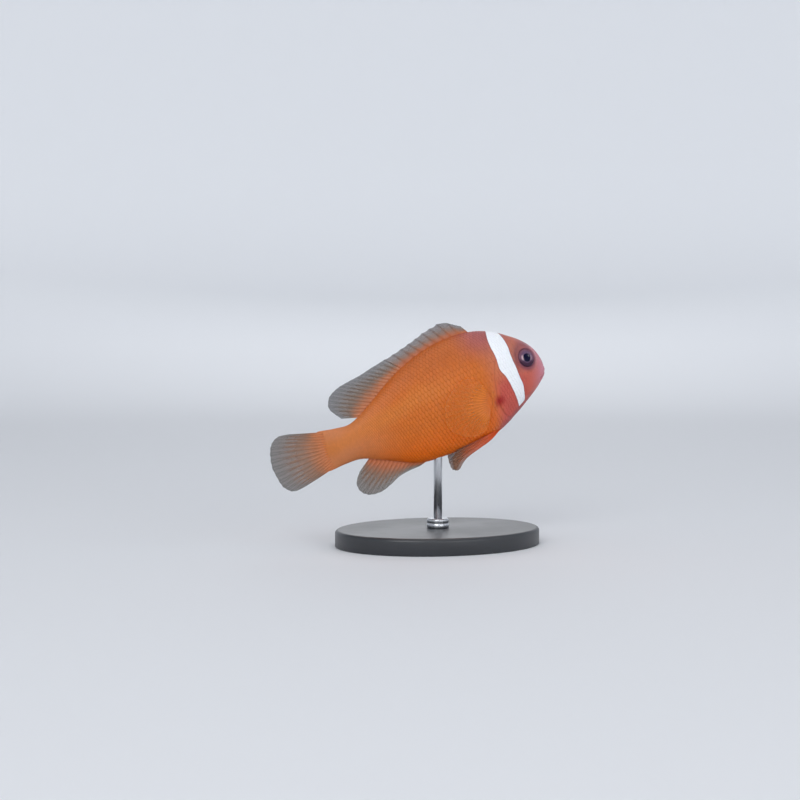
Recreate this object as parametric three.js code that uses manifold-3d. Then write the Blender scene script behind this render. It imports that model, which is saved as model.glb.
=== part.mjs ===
// A young tomato clownfish at life size, swimming with its nose up and its body in a gentle bend,
// held over an oval base by one steel rod.
//
// Frame: millimetres, +X the way the fish swims, +Y its left, +Z up. The origin is the middle of the
// underside of the base, straight below the rod.
//
// The fish is first described straight and level, in standard lengths: s runs along the spine from 0
// at the snout to 1 at the root of the tail fin, y is to the left and z is up from the spine. place()
// then lays the spine on an arc, tips the nose up and gives millimetres.

import * as THREE from "three";
import { mergeVertices } from "three/addons/utils/BufferGeometryUtils.js";
import Module from "manifold-3d";

const wasm = await Module();
wasm.setup();
const { degToRad, lerp } = THREE.MathUtils;

// ---- Driving dimensions -----------------------------------------------------------------------

const STANDARD_LENGTH = 60; // mm, snout to the root of the tail fin
const GAP = 0.3 / STANDARD_LENGTH; // clearance between neighbouring pieces
const NOSE_UP = degToRad(19);
const HEAD_TURN = degToRad(11); // heading of the snout, to the left of +X
const TAIL_TURN = degToRad(-13); // heading at the root of the tail fin
const SPINE_MIDDLE = 0.5; // the point of the spine that the pose turns about
const MIDDLE_AHEAD = 1.3; // mm, that point ahead of the rod
const MIDDLE_HEIGHT = 32; // mm, and above the floor

// The body's outline at each station: s, height of the back, height of the belly, half width.
const STATIONS = [
  [0, -0.004, -0.004, 0],
  [0.012, 0.063, -0.031, 0.024],
  [0.035, 0.104, -0.049, 0.04],
  [0.075, 0.1445, -0.0725, 0.056],
  [0.13, 0.183, -0.099, 0.072],
  [0.2, 0.2235, -0.131, 0.086],
  [0.3, 0.2545, -0.168, 0.096],
  [0.42, 0.261, -0.178, 0.095],
  [0.54, 0.242, -0.178, 0.085],
  [0.66, 0.197, -0.166, 0.069],
  [0.78, 0.128, -0.112, 0.05],
  [0.88, 0.078, -0.07, 0.034],
  [0.94, 0.081, -0.068, 0.026],
  [1, 0.091, -0.074, 0.018],
];
const WIDEST_AT = 0.47; // height of the widest line, as a share of the depth of the body
const BACK_TAPER = 1.12; // over 1 narrows the section towards the back
const BELLY_TAPER = 0.98; // under 1 rounds it towards the belly

// The gill opening parts the head from the trunk: s at the nape, at the side and at the throat.
const NAPE = 0.245;
const GILL_OPENING = 0.3;
const THROAT = 0.2;
const GILL_CURVE = 1.4; // how the opening bends between them
const GILL_CORE = 0.27; // s on the spine
const TAIL_STALK_FROM = 0.86;
const TAIL_STALK_TO = 0.995;
const BODY_SIDES = 32;

const MOUTH_WEDGE = [
  [-0.02, -0.009],
  [0.055, -0.037],
  [0.095, -0.066],
  [0.1, -0.12],
  [-0.02, -0.12],
];
const JAW_SHIFT = [-0.004, -0.0045]; // opens the gap between the jaw and the head
const JAW_WIDTH = 0.2;

// A shield in each cheek, centred at s and an angle round the body, with its two half sizes.
const GILL_COVER = { s: 0.232, angle: 1.75, length: 0.05, spread: 0.55, proud: 0.0025, depth: 0.018 };

// An eye's middle, its radius, and how far it stands out of the head and reaches into it.
const EYE = { s: 0.109, z: 0.0755, side: 0.0585, radius: 0.036, bulge: 0.014, seat: 0.02 };
const EYE_TURN = { forward: degToRad(4), up: degToRad(12) };

// Fins. Roots are ranges of s, or their two ends as s and z (and y, out from the middle). The tips
// of the rays are s and z, and y where the roots have it.
const FRONT_DORSAL = {
  root: [0.3, 0.615],
  spines: 10,
  notch: 0.006,
  tips: [[0.318, 0.294], [0.39, 0.3245], [0.44, 0.3235], [0.485, 0.3145], [0.53, 0.302], [0.575, 0.2895],
    [0.62, 0.278], [0.664, 0.2675]],
};
const REAR_DORSAL = {
  root: [0.621, 0.845],
  tips: [[0.671, 0.267], [0.735, 0.2545], [0.79, 0.243], [0.845, 0.234], [0.893, 0.221], [0.928, 0.195],
    [0.936, 0.155], [0.905, 0.108]],
};
const ANAL = {
  root: [0.64, 0.85],
  tips: [[0.662, -0.179], [0.712, -0.18], [0.757, -0.187], [0.8, -0.205], [0.845, -0.219], [0.888, -0.215],
    [0.918, -0.193], [0.925, -0.155], [0.9, -0.115]],
};
const TAIL = {
  root: [[1, 0.0865], [1, -0.0695]],
  tips: [[1.118, 0.1165], [1.158, 0.1205], [1.19, 0.1045], [1.209, 0.0665], [1.217, 0.0085],
    [1.209, -0.0495], [1.19, -0.0875], [1.158, -0.1035], [1.118, -0.0995]],
};
const PELVIC = {
  root: [[0.328, -0.173, 0.03], [0.352, -0.152, 0.045]],
  tips: [[0.511, -0.246, 0.013], [0.53, -0.247, 0.012], [0.539, -0.23, 0.014], [0.533, -0.198, 0.022],
    [0.513, -0.164, 0.04]],
  bow: 0.14, // how far the leading rays bow up towards the belly
};
const PECTORAL = {
  root: [[0.335, 0.01], [0.35, -0.07]],
  tips: [[0.366, 0.073], [0.411, 0.099], [0.473, 0.083], [0.517, 0.042], [0.541, -0.015], [0.531, -0.073],
    [0.486, -0.115], [0.428, -0.136], [0.38, -0.127]],
  flare: 0.014, // how far the tips stand off the flank
};
const PAIRED_CLEARANCE = 1.3 * GAP; // sideways, where the flank slopes away
const FIN_THICK = { root: 0.85 / STANDARD_LENGTH, tip: 0.5 / STANDARD_LENGTH };

const BASE = { length: 50, width: 40, height: 4, chamfer: 0.8 }; // mm
const ROD = { radius: 1, intoBase: 3, intoFish: 3, clearance: 0.3 }; // mm
const COLLAR = { radius: 2.6, height: 2, round: 0.5 }; // mm
const ROUND_SIDES = 40;

const COLOURS = {
  flesh: 0xc26b36,
  head: 0xb2625b,
  fin: 0x8a6a55,
  tailFin: 0x6b5b52,
  pectoral: 0xc46b30,
  eye: 0x2a1f38,
  base: 0x24262a,
  steel: 0xb9bcc0,
};

// ---- The body's form and pose -----------------------------------------------------------------

// A smooth curve through the stations. It runs on the square root of s, which rounds the snout.
function stationCurve(column) {
  const at = STATIONS.map((row) => Math.sqrt(row[0]));
  const value = STATIONS.map((row) => row[column]);
  const last = at.length - 1;
  const rise = at.slice(1).map((x, i) => (value[i + 1] - value[i]) / (x - at[i]));
  const slope = at.map((_, i) => {
    if (i === 0) return rise[0];
    if (i === last) return rise[last - 1];
    return (rise[i - 1] + rise[i]) / 2;
  });
  return (s) => {
    const x = Math.sqrt(Math.max(s, 0));
    let i = 0;
    while (i < last - 1 && x > at[i + 1]) i += 1;
    const step = at[i + 1] - at[i];
    const t = (x - at[i]) / step;
    const t2 = t * t;
    const t3 = t2 * t;
    return (2 * t3 - 3 * t2 + 1) * value[i] + (t3 - 2 * t2 + t) * step * slope[i]
      + (3 * t2 - 2 * t3) * value[i + 1] + (t3 - t2) * step * slope[i + 1];
  };
}
const backAt = stationCurve(1);
const bellyAt = stationCurve(2);
const halfWidthAt = stationCurve(3);

// The point of the body's section at s. The angle is 0 on the back, grows to the left and is pi on
// the belly, and grow moves the surface out.
function section(s, angle, grow = 0) {
  const back = backAt(s) + grow;
  const belly = bellyAt(s) - grow;
  const middle = lerp(belly, back, WIDEST_AT);
  const up = Math.cos(angle);
  const taper = up > 0 ? BACK_TAPER : BELLY_TAPER;
  const side = Math.sin(angle);
  return {
    y: (halfWidthAt(s) + grow) * Math.sign(side) * Math.abs(side) ** taper,
    z: middle + up * (up > 0 ? back - middle : middle - belly),
  };
}

// Half the width of the body at s and height z, or 0 above the back and below the belly.
function flank(s, z) {
  const back = backAt(s);
  const belly = bellyAt(s);
  const middle = lerp(belly, back, WIDEST_AT);
  const up = z > middle ? (z - middle) / (back - middle) : (z - middle) / (middle - belly);
  if (Math.abs(up) >= 1) return 0;
  return halfWidthAt(s) * Math.sqrt(1 - up * up) ** (up > 0 ? BACK_TAPER : BELLY_TAPER);
}

// From the straight, level fish to the posed one, in millimetres.
function place(s, y, z) {
  const turn = TAIL_TURN - HEAD_TURN;
  const heading = HEAD_TURN + turn * s;
  const middle = HEAD_TURN + turn * SPINE_MIDDLE;
  const ahead = (Math.sin(middle) - Math.sin(heading)) / turn - y * Math.sin(heading);
  const left = (Math.cos(heading) - Math.cos(middle)) / turn + y * Math.cos(heading);
  return new THREE.Vector3(
    MIDDLE_AHEAD + STANDARD_LENGTH * (ahead * Math.cos(NOSE_UP) - z * Math.sin(NOSE_UP)),
    STANDARD_LENGTH * left,
    MIDDLE_HEIGHT + STANDARD_LENGTH * (ahead * Math.sin(NOSE_UP) + z * Math.cos(NOSE_UP)),
  );
}

// ---- Geometry helpers -------------------------------------------------------------------------

// Merges shared vertices, drops collapsed triangles and turns the faces outward.
function weld(geometry) {
  geometry.deleteAttribute("normal");
  geometry.deleteAttribute("uv");
  const merged = mergeVertices(geometry);
  const index = merged.index.array;
  const corners = [0, 1, 2].map(() => new THREE.Vector3());
  const kept = [];
  let volume = 0;
  for (let i = 0; i < index.length; i += 3) {
    const [a, b, c] = index.slice(i, i + 3);
    if (a === b || b === c || c === a) continue;
    kept.push(a, b, c);
    corners.forEach((corner, k) => corner.fromBufferAttribute(merged.attributes.position, index[i + k]));
    volume += corners[0].dot(corners[1].cross(corners[2]));
  }
  if (volume < 0) kept.reverse();
  merged.setIndex(kept);
  return merged;
}

// Moves every vertex of a simple closed geometry to where map puts it.
function warp(geometry, map) {
  const points = geometry.attributes.position;
  const p = new THREE.Vector3();
  for (let i = 0; i < points.count; i += 1) {
    p.copy(map(p.fromBufferAttribute(points, i)));
    points.setXYZ(i, p.x, p.y, p.z);
  }
  return weld(geometry);
}

function toManifold(geometry) {
  return new wasm.Manifold(new wasm.Mesh({
    numProp: 3,
    vertProperties: new Float32Array(geometry.attributes.position.array),
    triVerts: new Uint32Array(geometry.index.array),
  }));
}

function toGeometry(manifold) {
  const mesh = manifold.getMesh();
  const geometry = new THREE.BufferGeometry();
  geometry.setAttribute("position", new THREE.BufferAttribute(mesh.vertProperties, 3));
  geometry.setIndex(new THREE.BufferAttribute(mesh.triVerts, 1));
  return geometry;
}

function cut(geometry, ...tools) {
  const left = tools.reduce((rest, tool) => rest.subtract(toManifold(tool)), toManifold(geometry));
  return toGeometry(left);
}

function splineOf(points) {
  return new THREE.SplineCurve(points.map(([x, y]) => new THREE.Vector2(x, y)));
}

// ---- Body -------------------------------------------------------------------------------------

// A length of the body between two cuts, each given as s at an angle and s on the spine.
function bodyLength(front, rear, stations) {
  return warp(new THREE.CylinderGeometry(1, 1, 1, BODY_SIDES, stations), (p) => {
    const along = p.y + 0.5;
    const angle = Math.atan2(p.x, p.z);
    if (Math.hypot(p.x, p.z) < 0.5) {
      const s = lerp(front.core, rear.core, along);
      return place(s, 0, lerp(bellyAt(s), backAt(s), WIDEST_AT));
    }
    const from = front.at(angle);
    const to = rear.at(angle);
    // Stations crowd towards the snout, where the body turns in fastest.
    const s = from > 0 ? lerp(from, to, along) : to * along ** 2;
    const rim = section(s, angle);
    return place(s, rim.y, rim.z);
  });
}

function flatCut(s) {
  return { core: s, at: () => s };
}

function gillCut(offset) {
  return {
    core: GILL_CORE + offset,
    at: (angle) => {
      const end = Math.cos(angle) > 0 ? NAPE : THROAT;
      return offset + lerp(end, GILL_OPENING, Math.abs(Math.sin(angle)) ** GILL_CURVE);
    },
  };
}

// The wedge that takes the lower jaw out of the head.
function mouthWedge(shift) {
  const outline = new THREE.Shape(MOUTH_WEDGE.map(([s, z]) => new THREE.Vector2(s + shift[0], z + shift[1])));
  const wedge = new THREE.ExtrudeGeometry(outline, { depth: JAW_WIDTH, bevelEnabled: false });
  return warp(wedge, (p) => place(p.x, p.z - JAW_WIDTH / 2, p.y));
}

// A shield that lies in the cheek: its outer face follows the body and its inner face bulges in.
function gillCover(hand, grow = 0) {
  return warp(new THREE.SphereGeometry(1, 20, 8), (p) => {
    const s = GILL_COVER.s + p.x * (GILL_COVER.length + grow);
    const angle = hand * (GILL_COVER.angle + p.z * (GILL_COVER.spread + grow / backAt(GILL_COVER.s)));
    const lift = p.y > 0 ? (GILL_COVER.proud + 2 * grow) * p.y : (GILL_COVER.depth + grow) * p.y;
    const rim = section(s, angle, lift);
    return place(s, rim.y, rim.z);
  });
}

// An eye: a lens with a shallow outer face and a deeper seat, turned a little forward and up.
function eye(hand, grow = 0) {
  const tilt = new THREE.Euler(hand * EYE_TURN.up, 0, -hand * EYE_TURN.forward, "ZXY");
  return warp(new THREE.SphereGeometry(1, 16, 10), (p) => {
    const out = p.y > 0 ? EYE.bulge : EYE.seat;
    p.set(p.x * (EYE.radius + grow), hand * p.y * (out + grow), p.z * (EYE.radius + grow)).applyEuler(tilt);
    return place(EYE.s - p.x, hand * EYE.side + p.y, EYE.z + p.z);
  });
}

// ---- Fins -------------------------------------------------------------------------------------

// A blade from its root to the tips of its rays. root and tip give s, y and z at a share u of the
// way along the fin, and side is the direction in which it is thick.
function blade(across, along, root, tip) {
  return warp(new THREE.BoxGeometry(1, 1, 1, across, along, 1), (p) => {
    const u = p.x + 0.5;
    const v = p.y + 0.5;
    const from = root(u);
    const to = tip(u);
    const thick = lerp(FIN_THICK.root, FIN_THICK.tip, v);
    return place(lerp(from.s, to.s, v), lerp(from.y, to.y, v) + p.z * thick, lerp(from.z, to.z, v));
  });
}

// A fin on the middle line, standing on the back or hanging from the belly.
function medianFin(fin, edge, across, along) {
  const tips = splineOf(fin.tips);
  return blade(
    across,
    along,
    (u) => {
      const s = lerp(fin.root[0], fin.root[1], u);
      return { s, y: 0, z: edge(s) };
    },
    (u) => {
      const tip = tips.getPoint(u);
      const between = Math.abs(Math.sin(Math.PI * u * ((fin.spines ?? 1) - 1)));
      return { s: tip.x, y: 0, z: tip.y - (fin.notch ?? 0) * between };
    },
  );
}

function tailFin() {
  const tips = splineOf(TAIL.tips);
  return blade(
    24,
    5,
    (u) => ({ s: TAIL.root[0][0], y: 0, z: lerp(TAIL.root[0][1], TAIL.root[1][1], u) }),
    (u) => {
      const tip = tips.getPoint(u);
      return { s: tip.x, y: 0, z: tip.y };
    },
  );
}

// Fins in pairs lie outside the flank: y is measured out from the middle, and never nearer the
// body than its own clearance.
function pairedFin(hand, across, along, root, tip) {
  return warp(new THREE.BoxGeometry(1, 1, 1, across, along, 1), (p) => {
    const u = p.x + 0.5;
    const v = p.y + 0.5;
    const from = root(u);
    const to = tip(u);
    const thick = lerp(FIN_THICK.root, FIN_THICK.tip, v);
    const s = lerp(from.s, to.s, v);
    const z = lerp(from.z, to.z, v) + (to.bow ?? 0) * v ** 3 * (1 - v);
    const clear = flank(s, z) + PAIRED_CLEARANCE + lerp(from.off ?? 0, to.off ?? 0, v ** 1.5);
    const inner = Math.max(lerp(from.y ?? 0, to.y ?? 0, v), clear);
    return place(s, hand * (inner + (p.z + 0.5) * thick), z);
  });
}

function pelvicFin(hand) {
  const points = PELVIC.tips.map((tip) => new THREE.Vector3(...tip));
  const tips = new THREE.CatmullRomCurve3(points, false, "centripetal");
  return pairedFin(
    hand,
    12,
    8,
    (u) => ({
      s: lerp(PELVIC.root[0][0], PELVIC.root[1][0], u),
      z: lerp(PELVIC.root[0][1], PELVIC.root[1][1], u),
      y: lerp(PELVIC.root[0][2], PELVIC.root[1][2], u),
    }),
    (u) => {
      const tip = tips.getPoint(u);
      return { s: tip.x, z: tip.y, y: tip.z, bow: PELVIC.bow * (1 - u) };
    },
  );
}

function pectoralFin(hand) {
  const tips = splineOf(PECTORAL.tips);
  return pairedFin(
    hand,
    18,
    7,
    (u) => ({
      s: lerp(PECTORAL.root[0][0], PECTORAL.root[1][0], u),
      z: lerp(PECTORAL.root[0][1], PECTORAL.root[1][1], u),
    }),
    (u) => {
      const tip = tips.getPoint(u);
      return { s: tip.x, z: tip.y, off: PECTORAL.flare };
    },
  );
}

// ---- Stand ------------------------------------------------------------------------------------

// A round turned on the upright axis from a profile of radius and height.
function turned(profile) {
  const lathe = new THREE.LatheGeometry(profile.map(([r, z]) => new THREE.Vector2(r, z)), ROUND_SIDES);
  return weld(lathe.rotateX(Math.PI / 2));
}

function upright(radius, from, to) {
  const bar = new THREE.CylinderGeometry(radius, radius, to - from, ROUND_SIDES / 2);
  return weld(bar.rotateX(Math.PI / 2).translate(0, 0, (from + to) / 2));
}

// Height at which the rod's axis meets the belly.
function bellyAboveRod() {
  let s = SPINE_MIDDLE;
  while (place(s, 0, bellyAt(s)).x > 0) s += 0.001;
  return place(s, 0, bellyAt(s)).z;
}

const rodHole = ROD.radius + ROD.clearance;
const rodTop = bellyAboveRod() + ROD.intoFish;
const rodFoot = BASE.height - ROD.intoBase;

function standBase() {
  const half = BASE.width / 2;
  const plate = turned([
    [0, 0],
    [half, 0],
    [half, BASE.height - BASE.chamfer],
    [half - BASE.chamfer, BASE.height],
    [0, BASE.height],
  ]);
  plate.scale(BASE.length / BASE.width, 1, 1);
  return cut(plate, upright(rodHole, rodFoot - ROD.clearance, BASE.height + 1));
}

function standRod() {
  return upright(ROD.radius, rodFoot, rodTop);
}

function standCollar() {
  const foot = BASE.height + ROD.clearance;
  const top = foot + COLLAR.height;
  return turned([
    [rodHole, foot],
    [COLLAR.radius, foot],
    [COLLAR.radius, top - COLLAR.round],
    [COLLAR.radius - COLLAR.round, top],
    [rodHole, top],
    [rodHole, foot],
  ]);
}

// ---- Assembly ---------------------------------------------------------------------------------

const fish = new THREE.Group();

function add(name, geometry, color, roughness = 0.5, metalness = 0) {
  geometry.computeVertexNormals();
  const mesh = new THREE.Mesh(geometry, new THREE.MeshStandardMaterial({ color, roughness, metalness }));
  mesh.name = name;
  fish.add(mesh);
}

const wholeHead = bodyLength(flatCut(0), gillCut(0), 13);
const sockets = [1, -1].flatMap((hand) => [gillCover(hand, GAP), eye(hand, GAP)]);
add("head", cut(wholeHead, mouthWedge([0, 0]), ...sockets), COLOURS.head);
const jaw = toManifold(wholeHead).intersect(toManifold(mouthWedge(JAW_SHIFT)));
add("lower_jaw", toGeometry(jaw), COLOURS.head);

const wholeTrunk = bodyLength(gillCut(GAP), flatCut(TAIL_STALK_FROM), 13);
add("trunk", cut(wholeTrunk, upright(rodHole, BASE.height, rodTop + ROD.clearance)), COLOURS.flesh);
add("tail_stalk", bodyLength(flatCut(TAIL_STALK_FROM + GAP), flatCut(TAIL_STALK_TO), 3), COLOURS.flesh);

for (const [side, hand] of [["left", 1], ["right", -1]]) {
  add(`gill_cover_${side}`, gillCover(hand), COLOURS.head);
  add(`eye_${side}`, eye(hand), COLOURS.eye, 0.1);
  add(`pectoral_fin_${side}`, pectoralFin(hand), COLOURS.pectoral);
  add(`pelvic_fin_${side}`, pelvicFin(hand), COLOURS.flesh);
}

const onBack = (s) => backAt(s) + GAP;
const underBelly = (s) => bellyAt(s) - GAP;
add("dorsal_fin_front", medianFin(FRONT_DORSAL, onBack, 36, 3), COLOURS.fin);
add("dorsal_fin_rear", medianFin(REAR_DORSAL, onBack, 22, 5), COLOURS.fin);
add("anal_fin", medianFin(ANAL, underBelly, 20, 4), COLOURS.fin);
add("tail_fin", tailFin(), COLOURS.tailFin);

add("stand_base", standBase(), COLOURS.base, 0.45);
add("stand_collar", standCollar(), COLOURS.steel, 0.3, 1);
add("stand_rod", standRod(), COLOURS.steel, 0.3, 1);

export default fish;
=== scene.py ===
"""A young tomato clownfish at life size on its display stand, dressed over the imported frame.

The fish is described straight and level, in standard lengths: s runs along the spine from 0 at the
snout to 1 at the root of the tail fin, y is to the left and z is up from the spine. BodyForm.place
lays the spine on an arc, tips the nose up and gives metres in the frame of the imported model.
"""

from __future__ import annotations

import logging
import math
from dataclasses import dataclass, field, replace
from enum import Enum
from typing import Dict, List, Optional, Sequence, Tuple, Union

import bpy
import numpy as np
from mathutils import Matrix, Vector


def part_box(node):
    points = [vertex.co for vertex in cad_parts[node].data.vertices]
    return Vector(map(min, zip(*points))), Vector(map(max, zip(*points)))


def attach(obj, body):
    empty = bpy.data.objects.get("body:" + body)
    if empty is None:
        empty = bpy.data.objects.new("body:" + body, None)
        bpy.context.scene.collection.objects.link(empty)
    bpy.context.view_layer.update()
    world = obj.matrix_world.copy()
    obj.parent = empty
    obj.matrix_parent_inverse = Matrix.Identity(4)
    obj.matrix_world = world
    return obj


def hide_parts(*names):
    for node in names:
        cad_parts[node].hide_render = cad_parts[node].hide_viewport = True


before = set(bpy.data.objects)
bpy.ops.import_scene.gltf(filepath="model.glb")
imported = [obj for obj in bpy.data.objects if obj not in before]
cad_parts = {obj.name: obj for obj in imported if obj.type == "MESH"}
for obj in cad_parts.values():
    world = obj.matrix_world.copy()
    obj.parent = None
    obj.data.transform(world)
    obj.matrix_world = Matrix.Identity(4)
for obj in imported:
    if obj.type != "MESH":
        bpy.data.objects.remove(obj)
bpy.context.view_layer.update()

LOG = logging.getLogger("clownfish")
MM = 0.001
Array = np.ndarray
Pair = Tuple[float, float]
Triple = Tuple[float, float, float]
Face = Tuple[int, ...]
Colour = Tuple[int, int, int]
Socket = bpy.types.NodeSocket
Link = Union[float, Socket]
Material = bpy.types.Material
Piece = bpy.types.Object


class Side(Enum):
    """The two sides of the fish, with the sign of y on each."""

    LEFT = 1
    RIGHT = -1

    @property
    def word(self) -> str:
        """The side's name in the names of pieces."""
        return self.name.lower()


class Slot(Enum):
    """The material slots of the record."""

    SKIN = "skin"
    FIN = "fin"
    EYE = "eye"
    BASE = "base"
    ROD = "rod"


# ---- Small mathematics -------------------------------------------------------------------------


def smoothstep(low: float, high: float, x: Array) -> Array:
    """A soft step from 0 to 1.

    Args:
        low: where the step starts.
        high: where it ends; it may be under low for a falling step.
        x: the values to step.

    Returns:
        The stepped values.
    """
    t = np.clip((x - low) / (high - low), 0.0, 1.0)
    return t * t * (3 - 2 * t)


def bump(x: Array, centre: float, width: float) -> Array:
    """A smooth hill of height 1 at centre, that falls away over width."""
    return np.exp(-(((x - centre) / width) ** 2))


def spline(points: Sequence[Sequence[float]], t: Array) -> Array:
    """A smooth curve through points, evenly timed from one to the next.

    Args:
        points: the points to pass through.
        t: shares of the way, from 0 to 1.

    Returns:
        One row for each t.
    """
    table = np.asarray(points, float)
    last = len(table) - 1
    place = np.asarray(t, float) * last
    i = np.clip(place.astype(int), 0, last - 1)
    w = (place - i)[..., None]
    before, start = table[np.maximum(i - 1, 0)], table[i]
    end, after = table[i + 1], table[np.minimum(i + 2, last)]
    leave, arrive = (end - before) / 2, (after - start) / 2
    return (
        (2 * start - 2 * end + leave + arrive) * w**3
        + (-3 * start + 3 * end - 2 * leave - arrive) * w**2
        + leave * w
        + start
    )


def lerp(a: Array, b: Array, t: Array) -> Array:
    """The value a share t of the way from a to b."""
    return a + (b - a) * t


# ---- The fish's form and pose ------------------------------------------------------------------


@dataclass(frozen=True)
class BodyForm:
    """The fish's form and the pose that bends it."""

    length: float = 60 * MM
    nose_up: float = math.radians(19)
    head_turn: float = math.radians(11)
    tail_turn: float = math.radians(-13)
    spine_middle: float = 0.5
    middle_ahead: float = 1.3 * MM
    middle_height: float = 32 * MM
    widest_at: float = 0.47
    back_taper: float = 1.12
    belly_taper: float = 0.98
    thins_over: Pair = (0.95, 1.045)  # s over which the flesh runs out on the tail fin's root
    thins_by: float = 0.8
    # s, height of the back, height of the belly, half width.
    stations: Tuple[Tuple[float, float, float, float], ...] = (
        (0, -0.004, -0.004, 0),
        (0.012, 0.063, -0.031, 0.024),
        (0.035, 0.104, -0.049, 0.04),
        (0.075, 0.1445, -0.0725, 0.056),
        (0.13, 0.183, -0.099, 0.072),
        (0.2, 0.2235, -0.131, 0.086),
        (0.3, 0.2545, -0.168, 0.096),
        (0.42, 0.261, -0.178, 0.095),
        (0.54, 0.242, -0.178, 0.085),
        (0.66, 0.197, -0.166, 0.069),
        (0.78, 0.128, -0.112, 0.05),
        (0.88, 0.078, -0.07, 0.034),
        (0.94, 0.081, -0.068, 0.026),
        (1, 0.091, -0.074, 0.018),
    )

    def mm(self, distance: Union[float, Array]) -> Union[float, Array]:
        """Turns millimetres into standard lengths."""
        return distance * MM / self.length

    def _through_stations(self, column: int, s: Array) -> Array:
        """One column of the stations as a smooth curve on the square root of s."""
        table = np.asarray(self.stations, float)
        at, value = np.sqrt(table[:, 0]), table[:, column]
        rise = np.diff(value) / np.diff(at)
        slope = np.concatenate([rise[:1], (rise[1:] + rise[:-1]) / 2, rise[-1:]])
        x = np.sqrt(np.clip(s, 0.0, 1.0))
        i = np.clip(np.searchsorted(at, x) - 1, 0, len(at) - 2)
        step = at[i + 1] - at[i]
        t = (x - at[i]) / step
        return (
            (2 * t**3 - 3 * t**2 + 1) * value[i]
            + (t**3 - 2 * t**2 + t) * step * slope[i]
            + (3 * t**2 - 2 * t**3) * value[i + 1]
            + (t**3 - t**2) * step * slope[i + 1]
        )

    def back(self, s: Array) -> Array:
        """Height of the back at s."""
        return self._through_stations(1, s)

    def belly(self, s: Array) -> Array:
        """Height of the belly at s."""
        return self._through_stations(2, s)

    def half_width(self, s: Array) -> Array:
        """Half the width at s, thinning where the flesh runs out over the tail fin's root."""
        return self._through_stations(3, s) * (1 - self.thins_by * smoothstep(*self.thins_over, s))

    def section(self, s: Array, angle: Array) -> Tuple[Array, Array]:
        """The outline of the body across the spine.

        Args:
            s: place along the spine.
            angle: 0 on the back, growing to the left, pi on the belly.

        Returns:
            y and z of the surface.
        """
        back, belly = self.back(s), self.belly(s)
        middle = lerp(belly, back, self.widest_at)
        up, side = np.cos(angle), np.sin(angle)
        taper = np.where(up > 0, self.back_taper, self.belly_taper)
        y = self.half_width(s) * np.sign(side) * np.abs(side) ** taper
        z = middle + up * np.where(up > 0, back - middle, middle - belly)
        return y, z

    def flank(self, s: Array, z: Array) -> Array:
        """Half the width of the body at s and height z, or 0 clear of the body."""
        back, belly = self.back(s), self.belly(s)
        middle = lerp(belly, back, self.widest_at)
        above = z > middle
        up = np.where(above, (z - middle) / (back - middle), (z - middle) / (middle - belly))
        taper = np.where(above, self.back_taper, self.belly_taper)
        return self.half_width(s) * np.sqrt(np.clip(1 - up**2, 0, 1)) ** taper

    def place(self, rest: Array) -> Array:
        """Poses the fish.

        Args:
            rest: rows of s, y and z on the straight, level fish.

        Returns:
            The same points on the posed fish, in metres.
        """
        s, y, z = rest[..., 0], rest[..., 1], rest[..., 2]
        turn = self.tail_turn - self.head_turn
        heading = self.head_turn + turn * s
        middle = self.head_turn + turn * self.spine_middle
        ahead = (np.sin(middle) - np.sin(heading)) / turn - y * np.sin(heading)
        left = (np.cos(heading) - np.cos(middle)) / turn + y * np.cos(heading)
        level, rise = math.cos(self.nose_up), math.sin(self.nose_up)
        return np.stack(
            [
                self.middle_ahead + self.length * (ahead * level - z * rise),
                self.length * left,
                self.middle_height + self.length * (ahead * rise + z * level),
            ],
            axis=-1,
        )


FORM = BodyForm()
UNWRAP_REACH = 1.08  # s at the far end of the skin's unwrap, past the last scale


@dataclass(frozen=True)
class FlankLine:
    """A smooth line drawn on the side of the fish, through points of s and z."""

    points: Tuple[Pair, ...]
    steps: int = 60

    def drawn(self) -> Array:
        """Points along the line, as rows of s and z."""
        return spline(self.points, np.linspace(0, 1, self.steps))

    def length(self) -> float:
        """Length of the line, in standard lengths."""
        return float(np.linalg.norm(np.diff(self.drawn(), axis=0), axis=1).sum())

    def measure(self, s: Array, z: Array) -> Tuple[Array, Array]:
        """Where points lie against the line.

        Args:
            s: place along the spine.
            z: height.

        Returns:
            Distance from the line, over 0 on its left as it runs, and the share of the way along.
        """
        line = self.drawn()
        best = np.full(s.shape, np.inf)
        signed = np.zeros(s.shape)
        share = np.zeros(s.shape)
        for k in range(self.steps - 1):
            ds, dz = line[k + 1] - line[k]
            reach = ds * ds + dz * dz
            t = np.clip(((s - line[k, 0]) * ds + (z - line[k, 1]) * dz) / reach, 0, 1)
            off_s, off_z = s - line[k, 0] - t * ds, z - line[k, 1] - t * dz
            far = np.hypot(off_s, off_z)
            near = far < best
            hand = np.sign(ds * (z - line[k, 1]) - dz * (s - line[k, 0]))
            best = np.where(near, far, best)
            signed = np.where(near, far * hand, signed)
            share = np.where(near, (k + t) / (self.steps - 1), share)
        return signed, share


# ---- Meshes ------------------------------------------------------------------------------------


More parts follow.
